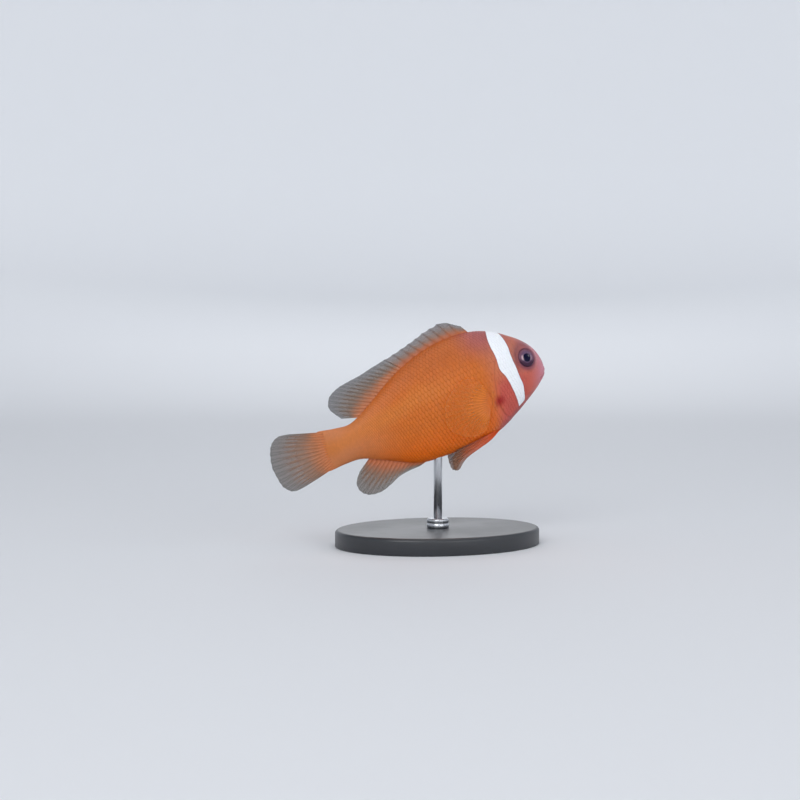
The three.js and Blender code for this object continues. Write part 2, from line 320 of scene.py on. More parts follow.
@dataclass
class Shape:
    """A mesh being made: points, faces, and values carried by its points or face corners."""

    points: Array
    faces: List[Face]
    values: Dict[str, Array] = field(default_factory=dict)
    vectors: Dict[str, Array] = field(default_factory=dict)
    unwrap: Optional[Array] = None

    def build(self, name: str, material: Material, slot: Slot, *nodes: str) -> Piece:
        """Makes the object and ties it to the frame.

        Args:
            name: the piece's name.
            material: its finish.
            slot: the record's slot that the finish belongs to; it is not used.
            nodes: the nodes of the frame that it stands for.

        Returns:
            The new object.
        """
        mesh = bpy.data.meshes.new(name)
        mesh.from_pydata(self.points.tolist(), [], self.faces)
        for key, value in self.values.items():
            layer = mesh.attributes.new(key, "FLOAT", "POINT")
            layer.data.foreach_set("value", np.ascontiguousarray(value, np.float32))
        for key, value in self.vectors.items():
            layer = mesh.attributes.new(key, "FLOAT_VECTOR", "POINT")
            layer.data.foreach_set("vector", np.ascontiguousarray(value, np.float32).ravel())
        if self.unwrap is not None:
            layer = mesh.uv_layers.new(name="OFBake")
            layer.data.foreach_set("uv", np.ascontiguousarray(self.unwrap, np.float32).ravel())
        mesh.polygons.foreach_set("use_smooth", np.ones(len(mesh.polygons), bool))
        mesh.materials.append(material)
        mesh.validate()
        mesh.update()
        piece = bpy.data.objects.new(name, mesh)
        bpy.context.scene.collection.objects.link(piece)
        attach(piece, "root")
        if nodes:
            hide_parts(*nodes)
        return piece


def grid_faces(rows: int, columns: int, wrap: bool, first: int = 0, flip: bool = False) -> List[Face]:
    """Quads between the points of a grid.

    Args:
        rows: rows of points.
        columns: points in a row.
        wrap: joins the last column to the first.
        first: number of the grid's first point.
        flip: turns the faces over.

    Returns:
        The faces, row by row.
    """
    i, j = np.meshgrid(np.arange(rows - 1), np.arange(columns if wrap else columns - 1), indexing="ij")
    k = (j + 1) % columns
    quads = np.stack([i * columns + j, i * columns + k, (i + 1) * columns + k, (i + 1) * columns + j], -1)
    quads = quads.reshape(-1, 4) + first
    return [tuple(quad) for quad in (quads[:, ::-1] if flip else quads).tolist()]


def closed_rings(rings: int, sides: int, flip: bool = False) -> List[Face]:
    """Faces of a form made of rings and closed at both ends by a fan of triangles.

    Args:
        rings: how many rings of points there are.
        sides: points in a ring.
        flip: turns the faces over.

    Returns:
        The faces. The point after the rings is the middle of the first ring's fan, and the next is the
        middle of the last ring's.
    """
    faces = grid_faces(rings, sides, True)
    middle, last_ring = rings * sides, (rings - 1) * sides
    for j in range(sides):
        k = (j + 1) % sides
        faces += [(middle, k, j), (middle + 1, last_ring + j, last_ring + k)]
    return [face[::-1] for face in faces] if flip else faces


def ring_points(rings: Array, sides: int, stretch: float = 1.0) -> Array:
    """Points of rings about the upright axis.

    Args:
        rings: rows of radius and height.
        sides: points in a ring.
        stretch: how much longer the rings are along X than across.

    Returns:
        One row for each point.
    """
    angle = np.linspace(0, 2 * math.pi, sides, endpoint=False)
    radius, height = rings[:, :1], rings[:, 1:]
    points = [radius * np.cos(angle) * stretch, radius * np.sin(angle), height + 0 * angle]
    return np.stack(points, -1).reshape(-1, 3)


def turned(profile: Sequence[Pair], sides: int, stretch: float = 1.0) -> Shape:
    """A closed solid turned on the upright axis.

    Args:
        profile: radius and height of each ring, from the middle of the foot to the middle of the top.
        sides: points in a ring.
        stretch: how much longer the solid is along X than across.

    Returns:
        The solid's shape.
    """
    rings = np.array([p for p in profile if p[0] > 0], float)
    ends = np.array([[0, 0, profile[0][1]], [0, 0, profile[-1][1]]])
    return Shape(np.vstack([ring_points(rings, sides, stretch), ends]), closed_rings(len(rings), sides))


# ---- Finishes ----------------------------------------------------------------------------------


def paint(colour: Colour) -> Tuple[float, float, float, float]:
    """A colour as it is seen on a screen, turned into the amounts of light that nodes use."""
    linear = [(c / 255 / 12.92) if c <= 10 else ((c / 255 + 0.055) / 1.055) ** 2.4 for c in colour]
    return (linear[0], linear[1], linear[2], 1.0)


class Finish:
    """A material being made from nodes."""

    def __init__(self, name: str) -> None:
        """Starts a plain material.

        Args:
            name: the material's name.
        """
        self.material = bpy.data.materials.new(name)
        self.material.use_nodes = True
        self.tree = self.material.node_tree
        self.shader = self.tree.nodes["Principled BSDF"]

    def node(self, kind: str, **settings: object) -> bpy.types.Node:
        """Adds a node.

        Args:
            kind: the node's type without its ShaderNode prefix.
            settings: the node's properties.

        Returns:
            The new node.
        """
        made = self.tree.nodes.new("ShaderNode" + kind)
        for key, value in settings.items():
            setattr(made, key, value)
        return made

    def feed(self, socket: Socket, value: object) -> None:
        """Links a socket, or sets it where the value isn't a link."""
        if isinstance(value, Socket):
            self.tree.links.new(value, socket)
        else:
            socket.default_value = value

    def fill(self, made: bpy.types.Node, **values: object) -> bpy.types.Node:
        """Sets or links a node's sockets, named with _ for each space, and gives the node back."""
        for key, value in values.items():
            self.feed(made.inputs[key.replace("_", " ")], value)
        return made

    def set(self, **values: object) -> None:
        """Sets or links the shader's sockets, named with _ for each space."""
        self.fill(self.shader, **values)

    def value(self, name: str) -> Socket:
        """A number that the mesh carries."""
        return self.node("Attribute", attribute_name=name).outputs["Fac"]

    def vector(self, name: str) -> Socket:
        """A vector that the mesh carries."""
        return self.node("Attribute", attribute_name=name).outputs["Vector"]

    def place(self) -> Socket:
        """The place on the object, in its own metres."""
        return self.node("TexCoord").outputs["Object"]

    def split(self, vector: Socket) -> List[Socket]:
        """The three numbers of a vector."""
        return list(self.fill(self.node("SeparateXYZ"), Vector=vector).outputs)

    def math(self, operation: str, a: Link, b: Link = 0.0, *more: Link, clamp: bool = False) -> Socket:
        """A sum on one, two or three numbers.

        Args:
            operation: the Math node's operation.
            a: the first number.
            b: the second number.
            more: the third number, where the operation takes one.
            clamp: keeps the answer between 0 and 1.

        Returns:
            The answer.
        """
        made = self.node("Math", operation=operation, use_clamp=clamp)
        for socket, number in zip(made.inputs, (a, b, *more)):
            self.feed(socket, number)
        return made.outputs[0]

    def add(self, a: Link, b: Link) -> Socket:
        """The sum of two numbers."""
        return self.math("ADD", a, b)

    def less(self, a: Link, b: Link) -> Socket:
        """The first number less the second."""
        return self.math("SUBTRACT", a, b)

    def times(self, a: Link, b: Link) -> Socket:
        """Two numbers multiplied."""
        return self.math("MULTIPLY", a, b)

    def step(self, x: Link, low: float, high: float, start: float = 0.0, end: float = 1.0) -> Socket:
        """A soft step in x.

        Args:
            x: the number to step.
            low: where the step starts.
            high: where it ends, which may be under low.
            start: the answer before the step.
            end: the answer after it.

        Returns:
            The stepped number.
        """
        made = self.node("MapRange", interpolation_type="SMOOTHSTEP", clamp=True)
        self.fill(made, Value=x, From_Min=low, From_Max=high, To_Min=start, To_Max=end)
        return made.outputs["Result"]

    def curve(self, x: Link, x_range: Pair, y_range: Pair, points: Sequence[Pair]) -> Socket:
        """A smooth curve through points.

        Args:
            x: the number to look up.
            x_range: lowest and highest x.
            y_range: lowest and highest answer.
            points: pairs of x and answer.

        Returns:
            The answer at x.
        """
        (x_low, x_high), (y_low, y_high) = x_range, y_range
        scale = self.fill(self.node("MapRange", clamp=True), Value=x, From_Min=x_low, From_Max=x_high)
        made = self.fill(self.node("FloatCurve"), Value=scale.outputs["Result"])
        line = made.mapping.curves[0]
        x_span, y_span = x_high - x_low, y_high - y_low
        spots = sorted(((px - x_low) / x_span, (py - y_low) / y_span) for px, py in points)
        line.points[0].location = spots[0]
        line.points[-1].location = spots[-1]
        for spot in spots[1:-1]:
            line.points.new(*spot)
        made.mapping.update()
        back = self.node("MapRange", clamp=False)
        self.fill(back, Value=made.outputs[0], To_Min=y_low, To_Max=y_high)
        return back.outputs["Result"]

    def mix(self, share: Link, a: object, b: object) -> Socket:
        """A share of the way from colour a to colour b; a tuple is a screen colour."""
        made = self.node("Mix", data_type="RGBA")
        self.fill(made, Factor=share)
        for socket, value in ((made.inputs[6], a), (made.inputs[7], b)):
            self.feed(socket, paint(value) if isinstance(value, tuple) else value)
        return made.outputs[2]

    def shade(self, colour: object, amount: Link) -> Socket:
        """A colour multiplied by a number."""
        made = self.node("VectorMath", operation="SCALE")
        self.feed(made.inputs[0], paint(colour)[:3] if isinstance(colour, tuple) else colour)
        return self.fill(made, Scale=amount).outputs[0]

    def noise(self, scale: float, detail: float = 2.0, where: Optional[Socket] = None,
              stretch: Triple = (1, 1, 1)) -> Socket:
        """Cloudy noise between 0 and 1.

        Args:
            scale: clouds in a unit of length.
            detail: how much finer noise is laid over it.
            where: the vector it follows, or the object's own metres.
            stretch: how much denser it is along each axis.

        Returns:
            The noise.
        """
        fit = self.fill(self.node("Mapping"), Scale=stretch, Vector=where or self.place())
        made = self.fill(self.node("TexNoise"), Scale=scale, Detail=detail, Vector=fit.outputs["Vector"])
        return made.outputs["Fac"]

    def relief(self, height: Link, distance: float, strength: float = 1.0) -> None:
        """Adds fine relief that light shows, distance metres deep."""
        made = self.fill(self.node("Bump"), Strength=strength, Distance=distance, Height=height)
        self.set(Normal=made.outputs["Normal"])


@dataclass(frozen=True)
class SkinFinish:
    """Wet orange skin with one white bar behind the eye."""

    back: Colour = (190, 98, 44)
    nape: Colour = (170, 92, 90)
    flank: Colour = (207, 104, 28)
    belly: Colour = (228, 104, 16)
    stalk: Colour = (206, 124, 76)
    band_colour: Colour = (210, 118, 44)
    # Height of a paler band against s.
    band: Tuple[Pair, ...] = (
        (0.3, 0.12), (0.585, 0.09), (0.78, 0.052), (0.947, 0.02), (1.0, 0.01),
    )
    cheek: Colour = (194, 112, 88)
    snout: Colour = (200, 128, 142)
    gill: Colour = (198, 84, 72)
    blood: Colour = (156, 10, 16)
    # The dark about the eye, and the painted shade under the throat.
    shade: Colour = (88, 48, 78)
    bar: Colour = (250, 250, 252)
    bar_edge: Colour = (120, 44, 60)
    bar_end: Pair = (-0.0153, -0.41)  # height of its lower end at s = 0, and the fall of that along s
    # Height against s along each edge of the bar.
    bar_front: Tuple[Pair, ...] = (
        (0.225, 0.172), (0.19, 0.173), (0.15, 0.1755), (0.109, 0.182), (0.065, 0.18), (0.02, 0.1755),
        (-0.02, 0.167), (-0.055, 0.167), (-0.085, 0.166), (-0.105, 0.17), (-0.128, 0.188),
    )
    bar_rear: Tuple[Pair, ...] = (
        (0.235, 0.215), (0.205, 0.249), (0.171, 0.256), (0.136, 0.254), (0.105, 0.2585), (0.08, 0.2585),
        (0.052, 0.245), (0.022, 0.235), (-0.016, 0.225), (-0.06, 0.213), (-0.09, 0.204), (-0.128, 0.19),
    )

    def _bar(self, f: Finish, s: Link, z: Link, wobble: Link) -> Tuple[Link, Link]:
        """The bar's mask.

        Args:
            f: the material.
            s: place along the spine.
            z: height.
            wobble: a small unevenness of the edges.

        Returns:
            1 on the white, and 1 on the dark line at its edges.
        """
        heights, places = (-0.14, 0.24), (0.1, 0.3)
        front = f.curve(z, heights, places, self.bar_front)
        rear = f.curve(z, heights, places, self.bar_rear)
        inside = f.math("MINIMUM", f.less(s, front), f.less(rear, s))
        inside = f.add(inside, wobble)
        end = f.add(f.times(s, self.bar_end[1]), self.bar_end[0])
        inside = f.math("MINIMUM", inside, f.less(z, end))
        white = f.step(inside, 0.0, 0.0022)
        edge = f.times(f.step(inside, -0.0045, -0.0005), f.step(inside, 0.0022, 0.0006))
        return white, edge

    def _trunk(self, f: Finish, s: Link, along: Link, low: Link) -> Socket:
        """The colours from the back to the belly and along to the tail stalk.

        Args:
            f: the material.
            s: place along the spine.
            along: the same, made uneven.
            low: height, made uneven.

        Returns:
            The colour.
        """
        colour = f.mix(f.step(low, 0.0, -0.13), self.flank, self.belly)
        colour = f.mix(f.step(low, 0.07, 0.24), colour, self.back)
        colour = f.mix(f.step(along, 0.68, 0.95), colour, self.stalk)
        middle = f.curve(s, (0.3, 1.0), (-0.1, 0.2), self.band)
        off = f.math("ABSOLUTE", f.less(low, middle))
        band = f.times(f.step(off, 0.055, 0.005), f.step(along, 0.4, 0.62, 0.0, 0.6))
        return f.mix(band, colour, self.band_colour)

    def _head(self, f: Finish, colour: Socket, along: Link, low: Link) -> Socket:
        """Lays the head's colours and the soft marks over the trunk's.

        Args:
            f: the material.
            colour: the trunk's colour.
            along: place along the spine, made uneven.
            low: height, made uneven.

        Returns:
            The colour.
        """
        colour = f.mix(f.step(along, 0.36, 0.22), colour, self.cheek)
        nape = f.times(f.step(along, 0.43, 0.26), f.step(low, 0.12, 0.23))
        colour = f.mix(nape, colour, self.nape)
        gill = f.times(f.step(along, 0.33, 0.27), f.step(low, 0.10, 0.0))
        gill = f.times(gill, f.step(along, 0.1, 0.2, 0.65, 1.0))
        colour = f.mix(gill, colour, self.gill)
        colour = f.mix(f.step(along, 0.13, 0.02), colour, self.snout)
        colour = f.mix(f.times(f.value("shade"), 0.75), colour, self.shade)
        return f.mix(f.times(f.value("blood"), 0.9), colour, self.blood)

    @staticmethod
    def _tone(f: Finish, rest: Socket, s: Link, fine: Link) -> Socket:
        """How light the skin is: fine unevenness, freckles on the head, a tone for each scale and a little
        painted shade along the scales' rims.

        Args:
            f: the material.
            rest: the place on the straight, level fish.
            s: place along the spine.
            fine: fine noise.

        Returns:
            A number to multiply the colour by.
        """
        tone = f.math("MULTIPLY_ADD", f.less(fine, 0.5), 0.16, 1.0)
        freckles = f.times(f.step(f.noise(190.0, 2.0, rest), 0.58, 0.72), f.step(s, 0.34, 0.1, 0.3, 1.0))
        tone = f.times(tone, f.step(freckles, 0.0, 1.0, 1.0, 0.84))
        # Painted shade: each scale is a little darker at its rim, where it drops to the next.
        tone = f.times(tone, f.step(f.value("rim"), 0.6, 1.0, 1.0, 0.98))
        return f.times(tone, f.add(f.times(f.value("tone"), 0.08), 0.96))

    def make(self) -> Material:
        """Builds the material.

        Returns:
            The finished material.
        """
        f = Finish("wet_orange_skin")
        rest = f.vector("rest")
        s, _, z = f.split(rest)
        fine = f.noise(60.0, 3.0, rest)
        uneven = f.times(f.less(f.noise(9.0, 3.0, rest), 0.5), 0.05)
        along, low = f.add(s, uneven), f.add(z, uneven)
        colour = self._head(f, self._trunk(f, s, along, low), along, low)
        colour = f.shade(colour, self._tone(f, rest, s, fine))
        wobble = f.times(f.less(f.noise(55.0, 2.0, rest), 0.5), 0.003)
        white, edge = self._bar(f, s, z, wobble)
        colour = f.mix(f.times(edge, 0.55), colour, self.bar_edge)
        colour = f.mix(white, colour, self.bar)
        # Painted shade: the skin darkens in its creases, the gill slit, the nostril pits, the pores and the
        # ring where it meets the eye.
        colour = f.shade(colour, f.step(f.value("crease"), 0.0, 1.0, 1.0, 0.4))
        f.set(Base_Color=colour, Roughness=f.step(fine, 0.2, 0.8, 0.38, 0.54))
        f.set(Coat_Weight=0.14, Coat_Roughness=0.2, Specular_IOR_Level=0.22)
        f.set(Subsurface_Weight=0.12, Subsurface_Radius=(0.9, 0.35, 0.15), Subsurface_Scale=0.0012)
        grain = f.times(f.noise(1.0, 1.0, f.vector("grain")), 0.6)
        f.relief(f.add(grain, f.noise(1500.0, 3.0)), 0.00005, 0.5)
        return f.material


@dataclass(frozen=True)
class FinFinish:
    """A thin fin: fleshy at its root and clearer towards its edge."""

    name: str
    root: Colour
    middle: Colour
    edge: Colour
    cover_edge: float = 0.65  # how much the edge hides of what is behind it
    flesh: float = 0.5  # how far out the root's colour reaches
    ray_depth: float = 0.12

    def make(self) -> Material:
        """Builds the material.

        Returns:
            The finished material.
        """
        f = Finish(self.name)
        rest = f.vector("rest")
        along, ray = f.value("along"), f.value("ray")
        cloud = f.less(f.noise(22.0, 3.0, rest), 0.5)
        v = f.add(along, f.times(cloud, 0.2))
        v = f.less(v, f.times(ray, 0.06))
        colour = f.mix(f.step(v, 0.0, self.flesh), self.root, self.middle)
        colour = f.mix(f.step(v, 0.35, 1.0), colour, self.edge)
        tone = f.add(f.times(ray, -self.ray_depth), 1.0)
        speckle = f.step(f.noise(160.0, 2.0, rest), 0.2, 0.8, 0.9, 1.1)
        colour = f.shade(colour, f.times(tone, speckle))
        cover = f.step(v, 0.0, 1.0, 1.0, self.cover_edge)
        cover = f.math("ADD", cover, f.times(ray, 0.1), clamp=True)
        one_face = f.less(1.0, f.math("SQRT", f.less(1.0, cover)))
        f.set(Base_Color=colour, Alpha=one_face, Roughness=f.step(cloud, -0.3, 0.3, 0.32, 0.5))
        f.set(Coat_Weight=0.15, Coat_Roughness=0.2)
        f.relief(f.noise(1800.0, 2.0), 0.00003, 0.4)
        return f.material


@dataclass(frozen=True)
class EyeFinish:
    """A wet eye: a mauve iris with fine streaks, painted shade low on it, pale crescents by the pupil that
    are partly a painted highlight, and a pupil that is nearly black.
    """

    pupil: Colour = (3, 2, 40)
    # the pale crescents by the pupil: partly a paler iris, partly a painted highlight
    inner: Colour = (190, 160, 168)
    iris: Colour = (100, 75, 102)
    rim: Colour = (116, 74, 92)
    # painted shade low on the iris
    under: Colour = (64, 36, 58)
    pupil_size: float = 0.47

    def make(self) -> Material:
        """Builds the material.

        Returns:
            The finished material.
        """
        f = Finish("wet_eye")
        disc = f.vector("disc")
        ahead, up, radius = f.split(disc)
        streak = f.noise(3.0, 4.0, disc, (6.0, 6.0, 1.0))
        reach = f.add(radius, f.times(f.less(streak, 0.5), 0.1))
        tilted = f.add(up, f.times(ahead, 0.35))
        # Pale crescents beside the pupil, stronger behind it: partly a paler part of the iris and partly a
        # painted highlight.
        pale = f.times(f.step(f.math("ABSOLUTE", tilted), 0.42, 0.1), f.step(reach, 0.78, 0.6))
        pale = f.times(pale, f.step(ahead, 0.2, -0.2, 0.4, 1.0))
        colour = f.mix(f.step(reach, 0.6, 0.95), self.iris, self.rim)
        # Painted shade: the iris darkens towards its lower side.
        under = f.times(f.step(tilted, 0.0, -0.6), f.step(reach, 0.45, 0.7))
        colour = f.mix(under, colour, self.under)
        colour = f.mix(pale, colour, self.inner)
        colour = f.shade(colour, f.step(streak, 0.25, 0.75, 0.8, 1.15))
        pupil = f.step(radius, self.pupil_size + 0.04, self.pupil_size - 0.02)
        colour = f.mix(pupil, colour, self.pupil)
        f.set(Base_Color=colour, Roughness=f.step(radius, self.pupil_size, 1.0, 0.08, 0.25))
        f.set(Coat_Weight=0.45, Coat_Roughness=0.03, Specular_IOR_Level=0.0)
        return f.material


@dataclass(frozen=True)
class PaintedMetalFinish:
    """Satin dark paint with a faint orange-peel surface."""

    colour: Colour = (46, 48, 52)

    def make(self) -> Material:
        """Builds the material.

        Returns:
            The finished material.
        """
        f = Finish("satin_dark_paint")
        cloud = f.noise(60.0, 4.0)
        f.set(Base_Color=f.shade(self.colour, f.step(cloud, 0.3, 0.7, 0.92, 1.08)))
        f.set(Roughness=f.step(cloud, 0.3, 0.7, 0.36, 0.46), Coat_Weight=0.2, Coat_Roughness=0.25)
        f.relief(f.noise(3000.0, 1.0), 0.00002, 0.4)
        return f.material


@dataclass(frozen=True)
class SteelFinish:
    """Steel drawn along its length."""

    colour: Colour = (196, 198, 202)

    def make(self) -> Material:
        """Builds the material.

        Returns:
            The finished material.
        """
        f = Finish("drawn_steel")
        lines = f.noise(9000.0, 2.0, None, (1.0, 1.0, 0.02))
        f.set(Base_Color=f.shade(self.colour, f.step(lines, 0.3, 0.7, 0.9, 1.05)), Metallic=1.0)
        f.set(Roughness=f.step(lines, 0.3, 0.7, 0.22, 0.38))
        f.relief(lines, 0.00001, 0.3)
        return f.material


# ---- Skin and scales ---------------------------------------------------------------------------


@dataclass(frozen=True)
class EyePlace:
    """Where an eye sits: its middle, its radius and the turn of its disc."""

    s: float = 0.109
    z: float = 0.0755
    side: float = 0.0585
    radius: float = 0.036
    bulge: float = 0.012
    forward: float = math.radians(4)
    up: float = math.radians(12)

    def axes(self, side: Side) -> Tuple[Array, Array, Array]:
        """The disc's own directions.

        Args:
            side: the side of the fish.

        Returns:
            Ahead, up and out, each as s, y and z.
        """
        sideways = side.value * math.cos(self.forward) * math.cos(self.up)
        out = np.array([-math.sin(self.forward), sideways, math.sin(self.up)])
        out /= np.linalg.norm(out)
        ahead = np.array([-1.0, 0.0, 0.0])
        ahead -= ahead.dot(out) * out
        ahead /= np.linalg.norm(ahead)
        up = np.cross(out, ahead) * side.value
        return ahead, up * np.sign(up[2]), out

    def plane(self, s: Array, z: Array) -> Array:
        """Distance out from the middle of the fish of the disc's plane at s and z."""
        _, _, out = self.axes(Side.LEFT)
        return self.side - (out[0] * (s - self.s) + out[2] * (z - self.z)) / out[1]


EYE = EyePlace()


@dataclass(frozen=True)
class SkinRelief:
    """The soft forms of the skin: mouth, nostrils, orbits, gill covers and the roots of the fins."""

    coat: float = 0.1  # mm that the skin lies under the outer form
    mouth_height: float = -0.011
    mouth_fall: float = 0.42
    mouth_corner: float = 0.049
    nostril: Pair = (0.058, 0.061)
    nostril_size: float = 0.0075
    shoulder: Pair = (0.342, -0.032)  # middle of the swelling at the pectoral fin's root
    shoulder_size: Pair = (0.03, 0.055)
    orbit_reach: Pair = (0.066, 0.04)  # out from the eye, where the skin starts to settle and has settled
    orbit_rim: float = 0.14  # mm that the rim round the eye stands up
    socket_depth: float = 1.3  # mm
    socket_edge: Pair = (0.0345, 0.027)
    gill_edge: FlankLine = FlankLine(
        ((0.236, 0.15), (0.272, 0.1), (0.293, 0.04), (0.3, -0.02), (0.293, -0.07), (0.268, -0.11),
         (0.225, -0.132), (0.16, -0.118))
    )
    cheek_edge: FlankLine = FlankLine(
        ((0.172, 0.1), (0.19, 0.05), (0.195, -0.005), (0.186, -0.05), (0.158, -0.078), (0.11, -0.078))
    )
    jaw_edge: FlankLine = FlankLine(((0.05, -0.02), (0.062, -0.05), (0.09, -0.072)))
    # Lines of sense pores: under the eye, over it, along the jaw and down the cheek bone.
    pore_lines: Tuple[FlankLine, ...] = (
        FlankLine(((0.052, 0.048), (0.07, 0.028), (0.1, 0.018), (0.135, 0.022), (0.158, 0.042))),
        FlankLine(((0.036, 0.075), (0.062, 0.112), (0.098, 0.13), (0.14, 0.126), (0.168, 0.105))),
        FlankLine(((0.03, -0.036), (0.06, -0.056), (0.1, -0.078), (0.14, -0.094))),
        FlankLine(((0.17, 0.07), (0.18, 0.03), (0.178, -0.015), (0.16, -0.052), (0.128, -0.066))),
    )
    pore_pitch: float = 1.05  # mm
    pore_radius: float = 0.15  # mm
    side_line: FlankLine = FlankLine(
        ((0.285, 0.125), (0.34, 0.165), (0.45, 0.186), (0.56, 0.17), (0.66, 0.133), (0.74, 0.09))
    )

    def mouth(self, s: Array, z: Array) -> Tuple[Array, Array]:
        """The lips and the crease between them.

        Args:
            s: place along the spine.
            z: height.

        Returns:
            Height of the lips in mm, and the crease from 0 to 1.
        """
        off = z - (self.mouth_height - self.mouth_fall * s)
        fade = smoothstep(self.mouth_corner + 0.008, self.mouth_corner - 0.012, s)
        lips = 0.1 * bump(off, 0.0095, 0.007) + 0.09 * bump(off, -0.009, 0.0065)
        folds = 0.07 * bump(off, 0.024, 0.004) + 0.06 * bump(off, -0.022, 0.004)
        crease = bump(off, 0, 0.0022)
        corner = bump(np.hypot(s - self.mouth_corner, off), 0, 0.007)
        height = fade * (lips - folds - 0.4 * crease) - 0.12 * corner
        return height, fade * crease

    def edges(self, s: Array, z: Array) -> Tuple[Array, Array]:
        """The free edges of the gill cover and the cheek bone.

        Args:
            s: place along the spine.
            z: height.

        Returns:
            Height in mm, and the crease from 0 to 1.
        """
        off, share = self.gill_edge.measure(s, z)
        behind = off / FORM.mm(1.0)  # mm, over 0 behind the edge
        ends = smoothstep(0, 0.12, share) * smoothstep(1, 0.85, share)
        cover = 0.12 * np.exp(np.minimum(behind, 0) / 1.3) * (behind <= 0)
        slot = -0.16 * np.exp(-np.maximum(behind, 0) / 0.8) * (behind > 0)
        gill = ends * (cover + slot)
        crease = 0.4 * ends * bump(behind, 0.12, 0.16)
        off, share = self.cheek_edge.measure(s, z)
        behind = off / FORM.mm(1.0)
        ends = smoothstep(0, 0.2, share) * smoothstep(1, 0.8, share)
        bone = -0.12 * ends * (behind / 0.7) * np.exp(-np.abs(behind / 0.7))
        off, share = self.jaw_edge.measure(s, z)
        jaw = -0.12 * bump(off, 0, 0.004) * smoothstep(0, 0.3, share) * smoothstep(1, 0.7, share)
        return gill + bone + jaw, crease

    def pores(self, s: Array, z: Array) -> Array:
        """The sense pores of the face.

        Args:
            s: place along the spine.
            z: height.

        Returns:
            1 in the middle of a pore, falling to 0 at its edge.
        """
        found = np.zeros(s.shape)
        for line in self.pore_lines:
            off, share = line.measure(s, z)
            count = max(int(line.length() / FORM.mm(self.pore_pitch)), 1)
            beside = (share * count - np.round(share * count)) * line.length() / count
            away = np.hypot(off, beside) / FORM.mm(self.pore_radius)
            found = np.maximum(found, np.exp(-(away**2)))
        return found

    def from_shoulder(self, s: Array, z: Array, size: Pair) -> Array:
        """Distance from the middle of the shoulder, as a share of a size along s and z."""
        return np.hypot((s - self.shoulder[0]) / size[0], (z - self.shoulder[1]) / size[1])

    def height(self, s: Array, y: Array, z: Array) -> Tuple[Array, Array]:
        """All the soft forms together.

        Args:
            s: place along the spine.
            y: distance to the left.
            z: height.

        Returns:
            Height over the outer form in mm, and the creases from 0 to 1, which the skin's finish darkens as
            painted shade.
        """
        lips, mouth_crease = self.mouth(s, z)
        edges, gill_crease = self.edges(s, z)
        facing = smoothstep(0.25, 0.6, np.abs(y) / np.maximum(FORM.half_width(s), 1e-6))
        out = np.hypot(s - self.nostril[0], z - self.nostril[1])
        pit = bump(out, 0, self.nostril_size * 0.55)
        rim = bump(out, self.nostril_size * 1.25, self.nostril_size * 0.5)
        nostril = facing * (0.07 * rim - 0.4 * pit)
        shoulder = 0.3 * smoothstep(1.1, 0.2, self.from_shoulder(s, z, self.shoulder_size))
        off, share = self.side_line.measure(s, z)
        line = 0.05 * bump(off, 0, 0.003) * smoothstep(0, 0.05, share) * smoothstep(1, 0.9, share)
        pores = facing * self.pores(s, z)
        height = lips + edges * facing + nostril + shoulder * facing + line - 0.11 * pores
        # The creases, pits and pores are carried for painted shade in the skin's finish.
        creases = np.maximum(np.maximum(mouth_crease, gill_crease * facing), facing * 0.9 * pit)
        creases = np.maximum(creases, 0.45 * pores)
        return height - self.coat, creases

    def surface(self, s: Array, angle: Array, lift: Union[float, Array] = 0.0) -> Tuple[Array, Array]:
        """The skin at a place on the body.

        Args:
            s: place along the spine.
            angle: 0 on the back, growing to the left, pi on the belly.
            lift: mm to stand off the skin.

        Returns:
            Rows of s, y and z, and the creases from 0 to 1.
        """
        step = 1e-4
        y, z = FORM.section(s, angle)
        y_on, z_on = FORM.section(s + step, angle)
        y_round, z_round = FORM.section(s, angle + step)
        along = np.stack([np.full_like(s, step), y_on - y, z_on - z], -1)
        around = np.stack([np.zeros_like(s), y_round - y, z_round - z], -1)
        normal = np.cross(around, along)
        normal /= np.maximum(np.linalg.norm(normal, axis=-1, keepdims=True), 1e-12)
        from_middle = np.stack([np.zeros_like(s), y, z - 0.02], -1)
        outward = np.sign(np.sum(normal * from_middle, -1, keepdims=True))
        normal *= np.where(outward == 0, 1, outward)
        height, crease = self.height(s, y, z)
        rest = np.stack([s, y, z], -1) + normal * FORM.mm(height + lift)[..., None]
        return self.orbit(rest, crease)

    def orbit(self, rest: Array, crease: Array) -> Tuple[Array, Array]:
        """Settles the skin round the eyes: a low rim about a socket.

        Args:
            rest: rows of s, y and z.
            crease: the creases so far.

        Returns:
            The settled rows and the creases.
        """
        s, y, z = rest[..., 0], rest[..., 1], rest[..., 2]
        out = np.hypot(s - EYE.s, z - EYE.z)
        near = smoothstep(*self.orbit_reach, out) * smoothstep(0.012, 0.03, np.abs(y))
        rim = FORM.mm(self.orbit_rim) * bump(out, 0.041, 0.004) - FORM.mm(0.05) * bump(out, 0.053, 0.005)
        socket = FORM.mm(self.socket_depth) * smoothstep(*self.socket_edge, out)
        level = np.sign(y) * (EYE.plane(s, z) + rim - socket)
        settled = rest.copy()
        settled[..., 1] = lerp(y, level, near)
        # The ring where the skin meets the eye is carried as a crease, for painted shade.
        ring = near * smoothstep(0.0405, 0.0355, out)
        return settled, np.maximum(crease, 0.6 * ring)


